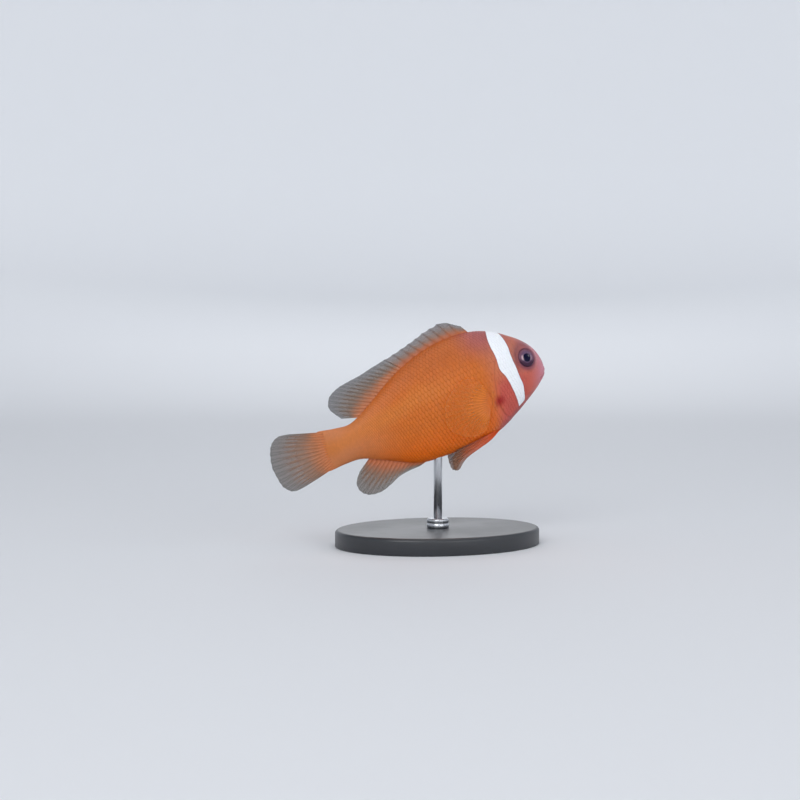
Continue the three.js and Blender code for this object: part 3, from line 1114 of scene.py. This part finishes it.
@dataclass(frozen=True)
class SoftMarks:
    """Marks too soft to have an edge: blood by the gill cover, the dark about the eye, and painted shade on
    the underside of the throat.
    """

    blood_at: Pair = (0.296, -0.036)
    blood_size: Pair = (0.03, 0.027)
    ring: float = 0.037
    ring_reach: float = 0.026
    throat: Pair = (0.05, 0.015)  # over the belly's line, where the painted shade under the throat starts and is darkest
    brow: Pair = (0.055, 0.088)  # where it starts to fade and where it ends

    def carried(self, rest: Array) -> Dict[str, Array]:
        """The marks as values for a mesh to carry.

        Args:
            rest: rows of s, y and z.

        Returns:
            Each mark's strength from 0 to 1, by its name.
        """
        s, z = rest[:, 0], rest[:, 2]
        (at_s, at_z), (wide, high) = self.blood_at, self.blood_size
        spot = np.hypot((s - at_s) / wide, (z - at_z) / high)
        out = np.hypot(s - EYE.s, z - EYE.z)
        above = smoothstep(-0.5, 0.6, (z - EYE.z + 0.6 * (s - EYE.s)) / np.maximum(out, 1e-6))
        below = smoothstep(0.2, 1.0, (EYE.z - z + 0.7 * (s - EYE.s)) / np.maximum(out, 1e-6))
        shade = lerp(0.6, 1.0, below) * smoothstep(self.ring + self.ring_reach, self.ring, out)
        shade = np.maximum(shade, smoothstep(self.ring + 0.012, self.ring + 0.002, out))
        shade = np.maximum(shade, 0.7 * above * smoothstep(self.brow[1], self.brow[0], out))
        # Painted shade on the underside of the throat, where little light reaches.
        throat = smoothstep(*self.throat, z - FORM.belly(s)) * smoothstep(0.08, 0.15, s)
        throat = throat * smoothstep(0.34, 0.24, s)
        shade = np.maximum(shade, 0.5 * throat)
        return {"blood": smoothstep(1.3, 0.1, spot), "shade": np.clip(shade, 0, 1)}


@dataclass
class Skin:
    """One skin over head, jaw, gill covers, trunk and tail stalk."""

    relief: SkinRelief
    head_rows: int = 200
    body_rows: int = 118
    columns: int = 256
    head_end: float = 0.32
    tail_lobe: float = 0.045

    def stations(self) -> Array:
        """Places of the rows along the spine, closest together at the snout."""
        head = self.head_end * (np.arange(1, self.head_rows + 1) / self.head_rows) ** 1.6
        body = np.linspace(self.head_end, 1.0, self.body_rows + 1)[1:]
        return np.concatenate([head, body])

    def build(self, material: Material) -> Piece:
        """Makes the skin.

        Args:
            material: the skin's finish.

        Returns:
            The skin.
        """
        rows = self.stations()
        angle = np.linspace(0, 2 * math.pi, self.columns, endpoint=False)
        lobe = self.tail_lobe * np.abs(np.sin(angle)) ** 0.8
        s, angles = np.meshgrid(rows, angle, indexing="ij")
        s = s + lobe * smoothstep(0.9, 1.0, s)
        rest, crease = self.relief.surface(s, angles)
        snout = np.array([[0.0, 0.0, float(FORM.back(np.array(0.0)))]])
        tail_height = float(FORM.back(np.array(1.0)) + FORM.belly(np.array(1.0))) / 2
        tail = np.array([[1.0 + self.tail_lobe * 0.6, 0.0, tail_height]])
        every = np.vstack([rest.reshape(-1, 3), snout, tail])
        zeros = np.zeros(len(every))
        shape = Shape(
            FORM.place(every),
            closed_rings(len(rows), self.columns),
            {
                "crease": np.concatenate([crease.ravel(), [0, 0]]),
                "rim": zeros,
                "tone": zeros + 0.5,
                **SoftMarks().carried(every),
            },
            {"rest": every, "grain": every * np.array([30.0, 60.0, 60.0])},
            self.unwrap(rows),
        )
        return shape.build(
            "skin", material, Slot.SKIN,
            "head", "lower_jaw", "gill_cover_left", "gill_cover_right", "trunk", "tail_stalk",
        )

    def unwrap(self, rows: Array) -> Array:
        """The skin opened flat: along the spine and round the body.

        Args:
            rows: places of the rows along the spine.

        Returns:
            One pair for each corner of each face.
        """
        u = rows / UNWRAP_REACH
        v = np.arange(self.columns + 1) / self.columns
        i, j = np.meshgrid(np.arange(len(rows) - 1), np.arange(self.columns), indexing="ij")
        quads = np.stack(
            [np.stack([u[i + a], v[j + b]], -1) for a, b in ((0, 0), (0, 1), (1, 1), (1, 0))], axis=-2
        ).reshape(-1, 2)
        ends = []
        for j in range(self.columns):
            ends += [(0.0, v[j]), (u[0], v[j + 1]), (u[0], v[j])]
            ends += [(1.0, v[j]), (u[-1], v[j]), (u[-1], v[j + 1])]
        return np.vstack([quads, np.array(ends)])


@dataclass
class Scales:
    """Small scales in staggered rows, each one lying back over the next."""

    relief: SkinRelief
    rows: int = 30
    first: float = 0.13
    last: float = 1.03
    aspect: float = 0.64
    rim_points: int = 10
    raised: float = 0.032  # mm at the hind edge
    sunk: float = 0.036  # mm at the front edge
    skirt: float = 0.08  # mm down from the rim
    patch: float = 0.0015  # half the size of a scale's patch in the unwrap
    reach: Pair = (0.66, 0.78)  # half a scale's length and width, as shares of a row's
    inner: float = 0.6  # share of the way out of the ring inside the rim
    clear: float = 0.004  # angle kept clear of the middle line of the back and belly
    full_height_at: float = 0.8  # mm, the length at which a scale stands its full height
    root_clear: Pair = (0.018, 0.05)  # bare at the pectoral fin's root, along s and z
    seed: int = 11

    def centres(self) -> Array:
        """Where the scales of one side sit.

        Returns:
            Rows of s, angle, length along s and width in angle.
        """
        spacing = math.pi / self.rows
        found: List[Tuple[float, float, float, float]] = []
        s = self.first
        while s < self.last:
            depth = float(FORM.back(np.array(s)) - FORM.belly(np.array(s))) / 2
            pitch = self.aspect * depth * spacing
            for row in range(self.rows):
                shifted = s + (0.5 * pitch if row % 2 else 0.0)
                found.append((shifted, (row + 0.5) * spacing, pitch, spacing))
            s += pitch
        return np.array(found)

    def scaled(self, centres: Array) -> Array:
        """Which places carry a scale: not the face, the gill slit or the roots of the fins.

        Args:
            centres: rows of s, angle, length and width.

        Returns:
            True for each scale that is made.
        """
        s, angle = centres[:, 0], centres[:, 1]
        _, z = FORM.section(s, angle)
        gill, share = self.relief.gill_edge.measure(s, z)
        slit = (np.abs(gill) < 0.009) & (share > 0.03) & (share < 0.97)
        eye = np.hypot(s - EYE.s, z - EYE.z) < self.relief.orbit_reach[0]
        face = s < 0.14 + 0.5 * np.maximum(-z - 0.03, 0)
        root = self.relief.from_shoulder(s, z, self.root_clear) < 1
        bare_end = s > 0.985 + 0.045 * np.sin(angle) ** 0.8
        return ~(slit | eye | face | root | bare_end)

    def build(self, side: Side, material: Material) -> Piece:
        """Makes the scales of one side.

        Args:
            side: the side of the fish.
            material: the skin's finish.

        Returns:
            The scales, joined.
        """
        centres = self.centres()
        centres = centres[self.scaled(centres)]
        count, n = len(centres), self.rim_points
        turn = np.linspace(0, 2 * math.pi, n, endpoint=False)
        rim_a = np.maximum(self.reach[0] * np.cos(turn), -0.5)
        rim_b = self.reach[1] * np.sin(turn) * (1 - 0.12 * np.cos(turn))
        share = np.concatenate([np.ones(n), np.full(n, self.inner), [0.0], np.ones(n)])
        a, b = (np.concatenate([rim, self.inner * rim, [0.0], rim]) for rim in (rim_a, rim_b))
        drop = np.concatenate([np.zeros(2 * n + 1), np.full(n, self.skirt)])
        slope = np.where(a > 0, self.raised, self.sunk) * a / 0.6
        dome = 0.02 * (1 - share**2)
        s = centres[:, :1] + a * centres[:, 2:3]
        angle = centres[:, 1:2] + b * centres[:, 3:4]
        angle = np.clip(angle, self.clear, math.pi - self.clear) * side.value
        size = np.sqrt(centres[:, 2:3] * FORM.length / (self.full_height_at * MM))
        lift = (slope + dome - drop) * size * lerp(0.25, 1.0, smoothstep(0.12, 0.28, centres[:, :1]))
        rest, crease = self.relief.surface(s, angle, lift)
        step = 3 * n + 1
        starts = np.arange(count)[:, None] * step
        faces: List[Face] = []
        for face in self.one_scale(n):
            corners = np.array(face if side is Side.LEFT else face[::-1])
            faces += [tuple(numbers) for numbers in (starts + corners).tolist()]
        tone = np.repeat(np.random.default_rng(self.seed).random(count), step)
        flat = rest.reshape(-1, 3)
        patch_u = centres[:, :1] / UNWRAP_REACH + a * self.patch
        patch_v = (centres[:, 1:2] * side.value / (2 * math.pi)) % 1.0 + b * self.patch
        uv = np.stack([patch_u, patch_v], -1).reshape(-1, 2)
        order = np.concatenate([np.array(face) for face in faces])
        grains = [0.5 * a + 0 * s, 9.0 * b + 0 * s, 40 * tone.reshape(count, step)]
        shape = Shape(
            FORM.place(flat),
            faces,
            {
                # the creases' painted shade, weaker on the scales
                "crease": crease.ravel() * 0.4,
                "rim": np.tile(share, count),
                "tone": tone,
                **SoftMarks().carried(flat),
            },
            {"rest": flat, "grain": np.stack(grains, -1).reshape(-1, 3)},
            uv[order],
        )
        return shape.build(f"scales_{side.word}", material, Slot.SKIN)

    @staticmethod
    def one_scale(n: int) -> List[Face]:
        """Faces of one scale: a domed top, a rim that turns down, and a flat underside.

        Args:
            n: points in the rim.

        Returns:
            The faces, as numbers of the scale's own points.
        """
        faces: List[Face] = []
        middle, under = 2 * n, 2 * n + 1
        for j in range(n):
            k = (j + 1) % n
            faces.append((middle, n + j, n + k))
            faces.append((n + j, j, k, n + k))
            faces.append((j, under + j, under + k, k))
        faces.append(tuple(under + j for j in reversed(range(n))))
        return faces


# ---- Eyes --------------------------------------------------------------------------------------


@dataclass
class Eyes:
    """Both eyes, each a wet dome over an iris with a lens that stands out of the pupil."""

    rings: int = 36
    sides: int = 96
    seat: float = 0.012
    gaze: Pair = (-0.15, 0.02)  # how far ahead and up the pupil sits, as shares of the radius
    lens: float = 0.0012  # how far the lens stands out of the pupil
    groove: float = 0.0008  # depth of the ring round it

    def profile(self, radius: Array) -> Array:
        """Height of the eye over its rim at a share of its radius."""
        return EYE.bulge * np.sqrt(np.clip(1 - radius**2, 0, 1)) ** 0.9

    def seen(self, disc: Array) -> Array:
        """Where points of the disc lie from the pupil's middle: ahead, up and the distance."""
        place = disc[:, :2] - np.array(self.gaze) * (1 - disc[:, 2:] ** 2)
        return np.hstack([place, np.linalg.norm(place, axis=1, keepdims=True)])

    def build(self, side: Side, material: Material) -> Piece:
        """Makes one eye.

        Args:
            side: the side of the fish.
            material: the eye's finish.

        Returns:
            The eye.
        """
        radius = np.sin(np.linspace(0.02, 1, self.rings) * math.pi / 2)
        turn = np.linspace(0, 2 * math.pi, self.sides, endpoint=False)
        r, t = np.meshgrid(radius, turn, indexing="ij")
        disc = np.stack([r * np.cos(t), r * np.sin(t), r], -1).reshape(-1, 3)
        pupil = self.seen(disc)
        lens = self.lens * smoothstep(0.5, 0.43, pupil[:, 2]) - self.groove * bump(pupil[:, 2], 0.6, 0.07)
        height = self.profile(disc[:, 2]) + lens
        front = self._spots(disc, height, side)
        back_disc = disc[-self.sides:] * np.array([0.8, 0.8, 1.0])
        back = self._spots(back_disc, np.full(self.sides, -self.seat), side)
        tips = self._spots(np.zeros((1, 3)), self.profile(np.zeros(1)) + self.lens, side)
        ends = self._spots(np.array([[0, 0, 1.0]]), np.array([-self.seat]), side)
        points = np.vstack([front, back, tips, ends])
        faces = closed_rings(self.rings + 1, self.sides, side is Side.LEFT)
        carried = np.vstack([pupil, back_disc, self.seen(np.zeros((1, 3))), np.array([[0, 0, 1.0]])])
        shape = Shape(FORM.place(points), faces, {}, {"disc": carried})
        return shape.build(f"eyeball_{side.word}", material, Slot.EYE, f"eye_{side.word}")

    @staticmethod
    def _spots(disc: Array, height: Array, side: Side) -> Array:
        """Points of the eye from its own directions, as s, y and z."""
        ahead, up, out = EYE.axes(side)
        middle = np.array([EYE.s, side.value * EYE.side, EYE.z])
        flat = disc[:, :1] * ahead + disc[:, 1:2] * up
        return middle + EYE.radius * flat + height[:, None] * out


# ---- Fins --------------------------------------------------------------------------------------


@dataclass(frozen=True)
class FinPlan:
    """What a fin is made to: its rays, its outline and its thickness.

    roots and tips are rows of s, z and y through which the roots and the tips of the rays pass. y is
    measured out from the middle of the fish.
    """

    name: str
    roots: Tuple[Triple, ...]
    tips: Tuple[Triple, ...]
    rays: int
    spiny: bool = False
    samples: int = 12
    lengths: int = 30
    web: float = 0.12  # mm, thickness of the skin between the rays
    ray: float = 0.42  # mm, thickness of a ray at its root
    sunk: float = 0.6  # mm that the root is let into the body
    notch: float = 0.0  # how far the edge falls back between two rays
    sway: float = 0.0  # mm of wave across the fin at its edge
    waves: float = 2.0
    bow: float = 0.0  # how far the leading rays bow up near their tips
    hump: float = 0.0  # how far they bow down near their roots
    swell: float = 0.0  # mm that the root is thicker, where it meets the tail stalk
    swell_reach: float = 0.38  # share of the way out where that ends
    clear: float = 0.35  # mm that a fin in a pair stays off the flank
    ragged: float = 0.008  # how uneven the rays' lengths are


@dataclass
class Fin:
    """One fin built to its plan."""

    plan: FinPlan

    def rays_at(self, u: Array, v: Array) -> Array:
        """How much of a ray there is at a place on the fin.

        Args:
            u: share of the way along the fin.
            v: share of the way out along the rays.

        Returns:
            1 on the crest of a ray, falling to 0 between two.
        """
        turn = u * (self.plan.rays - 1)
        off = turn - np.round(turn)
        if self.plan.spiny:
            return np.exp(-((off / lerp(0.13, 0.06, v)) ** 2))
        fork = 0.2 * smoothstep(0.35, 1.0, v)
        width = lerp(0.15, 0.09, v)
        return np.maximum(bump(off, fork, width), bump(off, -fork, width))

    def middle(self, u: Array, v: Array) -> Array:
        """The fin's middle surface, as s, out from the middle, and z.

        Args:
            u: share of the way along the fin.
            v: share of the way out along the rays.

        Returns:
            Rows of s, out and z.
        """
        plan = self.plan
        root, tip = spline(plan.roots, u), spline(plan.tips, u)
        between = np.abs(np.sin(math.pi * u * (plan.rays - 1)))
        each = np.random.default_rng(plan.rays).uniform(-1, 1, plan.rays)
        ragged = np.interp(u * (plan.rays - 1), np.arange(plan.rays), each)
        reach = v * (1 - plan.notch * between + plan.ragged * ragged)
        line = root + (tip - root) * reach[..., None]
        line[..., 1] += (plan.bow * v**3 * (1 - v) - plan.hump * v * (1 - v) ** 3) * (1 - u)
        sway = FORM.mm(plan.sway) * v**2 * np.sin(2 * math.pi * (plan.waves * u + 0.15 + 0.2 * v))
        line[..., 2] += sway
        return line[..., [0, 2, 1]]

    def build(self, material: Material, node: str, side: Optional[Side] = None) -> Piece:
        """Makes the fin.

        Args:
            material: the fin's finish.
            node: the node of the frame that it stands for.
            side: the side of the fish, or None for a fin on the middle line.

        Returns:
            The fin.
        """
        plan = self.plan
        across = (plan.rays - 1) * plan.samples + 1
        u, v = np.meshgrid(np.linspace(0, 1, across), np.linspace(0, 1, plan.lengths), indexing="ij")
        hand = side.value if side else 1
        middle = self.middle(u, v)
        sink = FORM.mm(plan.sunk) / np.maximum(self.root_lengths(u), 1e-3)
        inward = middle[:, 1:2] - middle[:, :1]
        first = middle[:, :1] - inward * (sink[:, :1, None] * (plan.lengths - 1))
        middle = np.concatenate([first, middle], axis=1)
        u = np.concatenate([u[:, :1], u], axis=1)
        v = np.concatenate([v[:, :1], v], axis=1)
        if side:
            middle[..., 1] = np.maximum(middle[..., 1], self.clear_of_body(middle, v))
        ray = self.rays_at(u, v)
        thick = plan.web * lerp(1.0, 0.6, v) + plan.ray * lerp(1.0, 0.3, v) * ray
        swell = plan.swell * np.sqrt(np.sin(math.pi * np.clip(u, 0, 1)))
        thick = thick + swell * smoothstep(plan.swell_reach, 0.0, v) ** 1.5
        half = FORM.mm(thick) / 2
        sheets = []
        for sign in (1, -1):
            sheet = middle.copy()
            sheet[..., 1] += sign * half
            sheet[..., 1] *= hand
            sheets.append(sheet)
        rows, columns = u.shape
        points = np.concatenate([sheet.reshape(-1, 3) for sheet in sheets])
        faces = self.closed_sheet(rows, columns, hand < 0)
        values = {"along": np.tile(v.ravel(), 2), "ray": np.tile(ray.ravel(), 2)}
        shape = Shape(FORM.place(points), faces, values, {"rest": points})
        return shape.build(plan.name, material, Slot.FIN, node)

    def root_lengths(self, u: Array) -> Array:
        """Length of the ray at each place along the fin, in standard lengths."""
        return np.linalg.norm(spline(self.plan.tips, u) - spline(self.plan.roots, u), axis=-1)

    def clear_of_body(self, middle: Array, v: Array) -> Array:
        """The least distance out at which a fin in a pair stays off the flank."""
        flank = FORM.flank(middle[..., 0], middle[..., 2])
        return flank + FORM.mm(self.plan.clear) * smoothstep(0.0, 0.2, v)

    @staticmethod
    def closed_sheet(rows: int, columns: int, flip: bool) -> List[Face]:
        """Faces of two sheets joined round their edge.

        Args:
            rows: rows of points in a sheet.
            columns: points in a row.
            flip: turns the faces over.

        Returns:
            The faces.
        """
        size = rows * columns
        faces = grid_faces(rows, columns, False, 0, not flip) + grid_faces(rows, columns, False, size, flip)
        edge = list(range(columns))
        edge += [i * columns + columns - 1 for i in range(1, rows)]
        edge += [(rows - 1) * columns + j for j in range(columns - 2, -1, -1)]
        edge += [i * columns for i in range(rows - 2, 0, -1)]
        for a, b in zip(edge, edge[1:] + edge[:1]):
            quad = (a, b, b + size, a + size)
            faces.append(quad[::-1] if flip else quad)
        return faces


def along_edge(start: float, end: float, upper: bool, count: int = 8) -> Tuple[Triple, ...]:
    """Roots along the back or the belly.

    Args:
        start: s of the first root.
        end: s of the last.
        upper: along the back rather than the belly.
        count: how many.

    Returns:
        Rows of s, z and 0.
    """
    s = np.linspace(start, end, count)
    z = FORM.back(s) if upper else FORM.belly(s)
    return tuple((float(a), float(b), 0.0) for a, b in zip(s, z))


def upright(rows: Sequence[Pair]) -> Tuple[Triple, ...]:
    """Rows of s and z on the middle of the fish, as s, z and 0."""
    return tuple((s, z, 0.0) for s, z in rows)


class FinSet:
    """All the fins."""

    paired = ("pelvic_fin", "pectoral_fin")

    def plans(self) -> Dict[str, FinPlan]:
        """The plan of each fin, by the node it stands for.

        Returns:
            The plans.
        """
        return {
            "dorsal_fin_front": FinPlan(
                "fin_dorsal_front", along_edge(0.3, 0.617, True),
                upright(((0.32, 0.285), (0.39, 0.3245), (0.44, 0.3235), (0.485, 0.3145), (0.53, 0.302),
                      (0.575, 0.2895), (0.62, 0.278), (0.668, 0.267))),
                10, spiny=True, lengths=24, notch=0.05, sway=0.15, ragged=0.02,
            ),
            "dorsal_fin_rear": FinPlan(
                "fin_dorsal_rear", along_edge(0.617, 0.845, True),
                upright(((0.668, 0.267), (0.735, 0.2545), (0.79, 0.243), (0.845, 0.234), (0.893, 0.221),
                      (0.928, 0.195), (0.936, 0.155), (0.905, 0.108))),
                17, notch=0.008, sway=0.35, waves=1.3,
            ),
            "anal_fin": FinPlan(
                "fin_anal", along_edge(0.64, 0.85, False),
                upright(((0.662, -0.179), (0.712, -0.18), (0.757, -0.187), (0.8, -0.205), (0.845, -0.219),
                      (0.888, -0.215), (0.918, -0.193), (0.925, -0.155), (0.9, -0.115))),
                15, notch=0.01, sway=0.3, waves=1.1,
            ),
            "tail_fin": FinPlan(
                "fin_tail",
                upright(((1.0, 0.0845), (1.0, 0.0465), (1.0, 0.0085), (1.0, -0.0295), (1.0, -0.0675))),
                upright(((1.118, 0.1165), (1.158, 0.1205), (1.19, 0.1045), (1.209, 0.0665), (1.217, 0.0085),
                      (1.209, -0.0495), (1.19, -0.0875), (1.158, -0.1035), (1.118, -0.0995))),
                17, notch=0.008, sway=0.4, waves=0.8, swell=0.8,
            ),
            "pelvic_fin": FinPlan(
                "fin_pelvic",
                ((0.308, -0.16, 0.026), (0.33, -0.158, 0.034), (0.352, -0.152, 0.046)),
                ((0.509, -0.2445, 0.013), (0.524, -0.2485, 0.012), (0.535, -0.241, 0.013),
                 (0.538, -0.222, 0.016), (0.532, -0.194, 0.024), (0.513, -0.164, 0.04)),
                7, notch=0.012, sunk=0.4, samples=16, ray=0.3, bow=0.14, hump=0.055,
            ),
            "pectoral_fin": FinPlan(
                "fin_pectoral",
                ((0.334, 0.012, 0.095), (0.342, -0.03, 0.095), (0.35, -0.07, 0.086)),
                ((0.366, 0.073, 0.105), (0.411, 0.099, 0.1), (0.473, 0.083, 0.1),
                 (0.517, 0.042, 0.1), (0.541, -0.015, 0.098), (0.531, -0.073, 0.092),
                 (0.486, -0.115, 0.084), (0.428, -0.136, 0.078), (0.38, -0.127, 0.08)),
                20, notch=0.008, samples=10, web=0.08, ray=0.17,
            ),
        }

    def finishes(self) -> Dict[str, Material]:
        """The finish of each fin, by the node it stands for.

        Returns:
            The materials.
        """
        finishes = {
            "dorsal_fin_front": FinFinish(
                "dorsal_membrane", (182, 100, 56), (136, 102, 82), (102, 96, 98), 0.82
            ),
            "dorsal_fin_rear": FinFinish(
                "soft_dorsal_membrane", (188, 114, 72), (120, 96, 78), (86, 85, 88), 0.78, 0.45
            ),
            "anal_fin": FinFinish("anal_membrane", (190, 102, 52), (134, 96, 70), (96, 88, 80), 0.78),
            "tail_fin": FinFinish("tail_membrane", (198, 118, 68), (140, 100, 74), (92, 86, 82), 0.78, 0.45),
            "pelvic_fin": FinFinish(
                "pelvic_membrane", (222, 86, 18), (206, 88, 30), (130, 86, 56), 0.82, 0.6
            ),
            "pectoral_fin": FinFinish(
                "pectoral_membrane", (210, 106, 28), (232, 126, 26), (232, 126, 28), 0.25, 0.3, 0.03
            ),
        }
        return {node: finish.make() for node, finish in finishes.items()}

    def build(self) -> List[Piece]:
        """Makes all the fins.

        Returns:
            The fins.
        """
        made = []
        finishes = self.finishes()
        for node, plan in self.plans().items():
            if node in self.paired:
                for side in Side:
                    named = replace(plan, name=f"{plan.name}_{side.word}")
                    made.append(Fin(named).build(finishes[node], f"{node}_{side.word}", side))
            else:
                made.append(Fin(plan).build(finishes[node], node))
        return made


# ---- Stand -------------------------------------------------------------------------------------


@dataclass
class Stand:
    """The oval base, the collar and the rod, made to the boxes of their nodes."""

    sides: int = 160
    fillet: float = 0.8 * MM
    fillet_steps: int = 8
    edge: float = 0.15 * MM
    collar_fillet: float = 0.5 * MM
    collar_groove: float = 0.12 * MM

    def _rounded(self, radius: float, top: float, fillet: float) -> List[Pair]:
        """Rings of a rounded upper edge."""
        turn = np.linspace(0, math.pi / 2, self.fillet_steps)
        return [(radius - fillet * (1 - math.cos(t)), top - fillet * (1 - math.sin(t))) for t in turn]

    def base(self, material: Material) -> Piece:
        """Makes the oval base.

        Args:
            material: its finish.

        Returns:
            The base.
        """
        low, high = (Vector(corner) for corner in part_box("stand_base"))
        radius = (high.y - low.y) / 2
        stretch = (high.x - low.x) / (high.y - low.y)
        rings = [(0.0, low.z), (radius * 0.5, low.z)]
        rings += [(radius - self.edge, low.z), (radius, low.z + self.edge)]
        rings += self._rounded(radius, high.z, self.fillet)
        rings += [(radius * share, high.z) for share in (0.9, 0.7, 0.4, 0.1)]
        rings.append((0.0, high.z))
        return turned(rings, self.sides, stretch).build("display_base", material, Slot.BASE, "stand_base")

    def rod(self, material: Material) -> Piece:
        """Makes the rod, from inside the base to inside the belly.

        Args:
            material: its finish.

        Returns:
            The rod.
        """
        low, high = (Vector(corner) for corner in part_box("stand_rod"))
        radius = (high.x - low.x) / 2
        rings = [(0.0, low.z), (radius, low.z)]
        rings += self._rounded(radius, high.z, radius * 0.5)
        rings.append((0.0, high.z))
        return turned(rings, 48).build("display_rod", material, Slot.ROD, "stand_rod")

    def collar(self, material: Material) -> Piece:
        """Makes the collar round the rod's foot.

        Args:
            material: its finish.

        Returns:
            The collar.
        """
        low, high = (Vector(corner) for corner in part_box("stand_collar"))
        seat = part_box("stand_base")[1][2]
        radius = (high.x - low.x) / 2
        rings = [(0.0, seat), (radius - self.edge, seat), (radius, seat + self.edge)]
        rings += [(radius, lerp(seat, high.z, 0.45)), (radius - self.collar_groove, lerp(seat, high.z, 0.5))]
        rings += [(radius, lerp(seat, high.z, 0.55))]
        rings += self._rounded(radius, high.z, self.collar_fillet)
        rings += [(radius * 0.5, high.z), (0.0, high.z)]
        return turned(rings, 72).build("display_collar", material, Slot.ROD, "stand_collar")


# ---- Studio ------------------------------------------------------------------------------------


@dataclass(frozen=True)
class Lamp:
    """A soft square light."""

    name: str
    place: Triple  # metres
    size: float  # length of its side in metres
    power: float  # watts


@dataclass
class Studio:
    """A pale floor that curves up all round and glows a little far out as painted light, soft light, and the
    camera.
    """

    azimuth: float = -25.0
    elevation: float = 3.0
    distance: float = 379 * MM
    lens: float = 72.0
    off_right: float = 0.0269  # the fish's middle, right of the picture's, as a tangent
    off_down: float = 0.0059
    floor_flat: float = 0.6  # metres out to where the floor starts to rise
    floor_bend: float = 1.2
    floor_top: float = 2.4
    floor_sides: int = 96
    lamps: Tuple[Lamp, ...] = (
        Lamp("key", (-0.5, -0.6, 0.5), 0.5, 3.0),
        Lamp("fill", (0.2, -0.95, 0.2), 0.6, 2.1),
        Lamp("top", (0.1, -0.1, 0.85), 0.7, 1.1),
        Lamp("rear", (0.35, 0.75, 0.45), 0.5, 0.9),
        Lamp("spark", (0.6, -0.42, 0.42), 0.1, 0.2),
    )

    def camera(self) -> None:
        """Places the camera on the fish's right, a little behind it and a little above."""
        a, e = math.radians(self.azimuth), math.radians(self.elevation)
        back = Vector((math.sin(a) * math.cos(e), -math.cos(a) * math.cos(e), math.sin(e)))
        target = Vector((FORM.middle_ahead, 0.0, FORM.middle_height))
        turn, tip = a + math.atan(self.off_right), e - math.atan(self.off_down)
        look = Vector((math.sin(turn) * math.cos(tip), -math.cos(turn) * math.cos(tip), math.sin(tip)))
        data = bpy.data.cameras.new("camera")
        data.lens = self.lens
        data.sensor_width = 36.0
        data.clip_start = 0.01
        data.clip_end = 50.0
        camera = bpy.data.objects.new("camera", data)
        camera.location = target + back * self.distance
        camera.rotation_mode = "QUATERNION"
        camera.rotation_quaternion = (-look).to_track_quat("-Z", "Y")
        bpy.context.scene.collection.objects.link(camera)
        bpy.context.scene.camera = camera

    def floor(self) -> None:
        """Makes the pale floor, which curves up into a wall all round; far out, it and the lower wall glow a
        little as painted light.
        """
        flat, bend = self.floor_flat, self.floor_bend
        rings = [(flat * share, 0.0) for share in (0.05, 0.2, 0.5, 0.8)]
        rings += [
            (flat + bend * math.sin(t), bend * (1 - math.cos(t))) for t in np.linspace(0, math.pi / 2, 28)
        ]
        rings.append((flat + bend, self.floor_top))
        points = ring_points(np.array(rings), self.floor_sides)
        faces = grid_faces(len(rings), self.floor_sides, True, flip=True) + [tuple(range(self.floor_sides))]
        mesh = bpy.data.meshes.new("floor")
        mesh.from_pydata(points.tolist(), [], faces)
        mesh.polygons.foreach_set("use_smooth", np.ones(len(mesh.polygons), bool))
        f = Finish("pale_floor")
        place = f.place()
        away = f.node("VectorMath", operation="LENGTH")
        f.feed(away.inputs[0], place)
        # Painted light: past 0.45 m out the floor and the lower wall glow, up to 0.32, fading out high on
        # the wall, in place of lamp light on the backdrop.
        lit = f.step(away.outputs["Value"], 0.45, 1.3, 0.0, 0.32)
        glow = f.times(lit, f.step(f.split(place)[2], 0.8, 0.4))
        f.set(Base_Color=paint((226, 228, 231)), Roughness=0.85, Specular_IOR_Level=0.2)
        f.set(Emission_Color=paint((240, 244, 250)), Emission_Strength=glow)
        mesh.materials.append(f.material)
        piece = bpy.data.objects.new("floor", mesh)
        bpy.context.scene.collection.objects.link(piece)

    def light(self, plan: Lamp) -> None:
        """Hangs a lamp, turned to face the fish.

        Args:
            plan: its name, place, size and power.
        """
        data = bpy.data.lights.new(plan.name, "AREA")
        data.size = plan.size
        data.energy = plan.power
        lamp = bpy.data.objects.new(plan.name, data)
        lamp.location = plan.place
        lamp.rotation_mode = "QUATERNION"
        aim = Vector((0, 0, FORM.middle_height)) - Vector(plan.place)
        lamp.rotation_quaternion = aim.to_track_quat("-Z", "Y")
        bpy.context.scene.collection.objects.link(lamp)

    def build(self) -> None:
        """Sets up the whole studio."""
        self.camera()
        self.floor()
        for lamp in self.lamps:
            self.light(lamp)
        world = bpy.data.worlds.new("studio")
        world.use_nodes = True
        sky = world.node_tree.nodes["Background"]
        sky.inputs["Color"].default_value = (0.9, 0.93, 1.0, 1.0)
        sky.inputs["Strength"].default_value = 0.5
        scene = bpy.context.scene
        scene.world = world
        scene.view_settings.view_transform = "Standard"


def main() -> None:
    """Builds every piece in order and reports it."""
    logging.basicConfig(level=logging.INFO, format="%(name)s: %(message)s")
    Studio().build()
    relief = SkinRelief()
    skin_finish = SkinFinish().make()
    made = [Skin(relief).build(skin_finish)]
    scales = Scales(relief)
    made += [scales.build(side, skin_finish) for side in Side]
    eye_finish = EyeFinish().make()
    eyes = Eyes()
    made += [eyes.build(side, eye_finish) for side in Side]
    made += FinSet().build()
    stand = Stand()
    steel = SteelFinish().make()
    made += [stand.base(PaintedMetalFinish().make()), stand.rod(steel), stand.collar(steel)]
    for piece in made:
        LOG.info("%s: %d points, %d faces", piece.name, len(piece.data.vertices), len(piece.data.polygons))


if __name__ == "__main__":
    main()
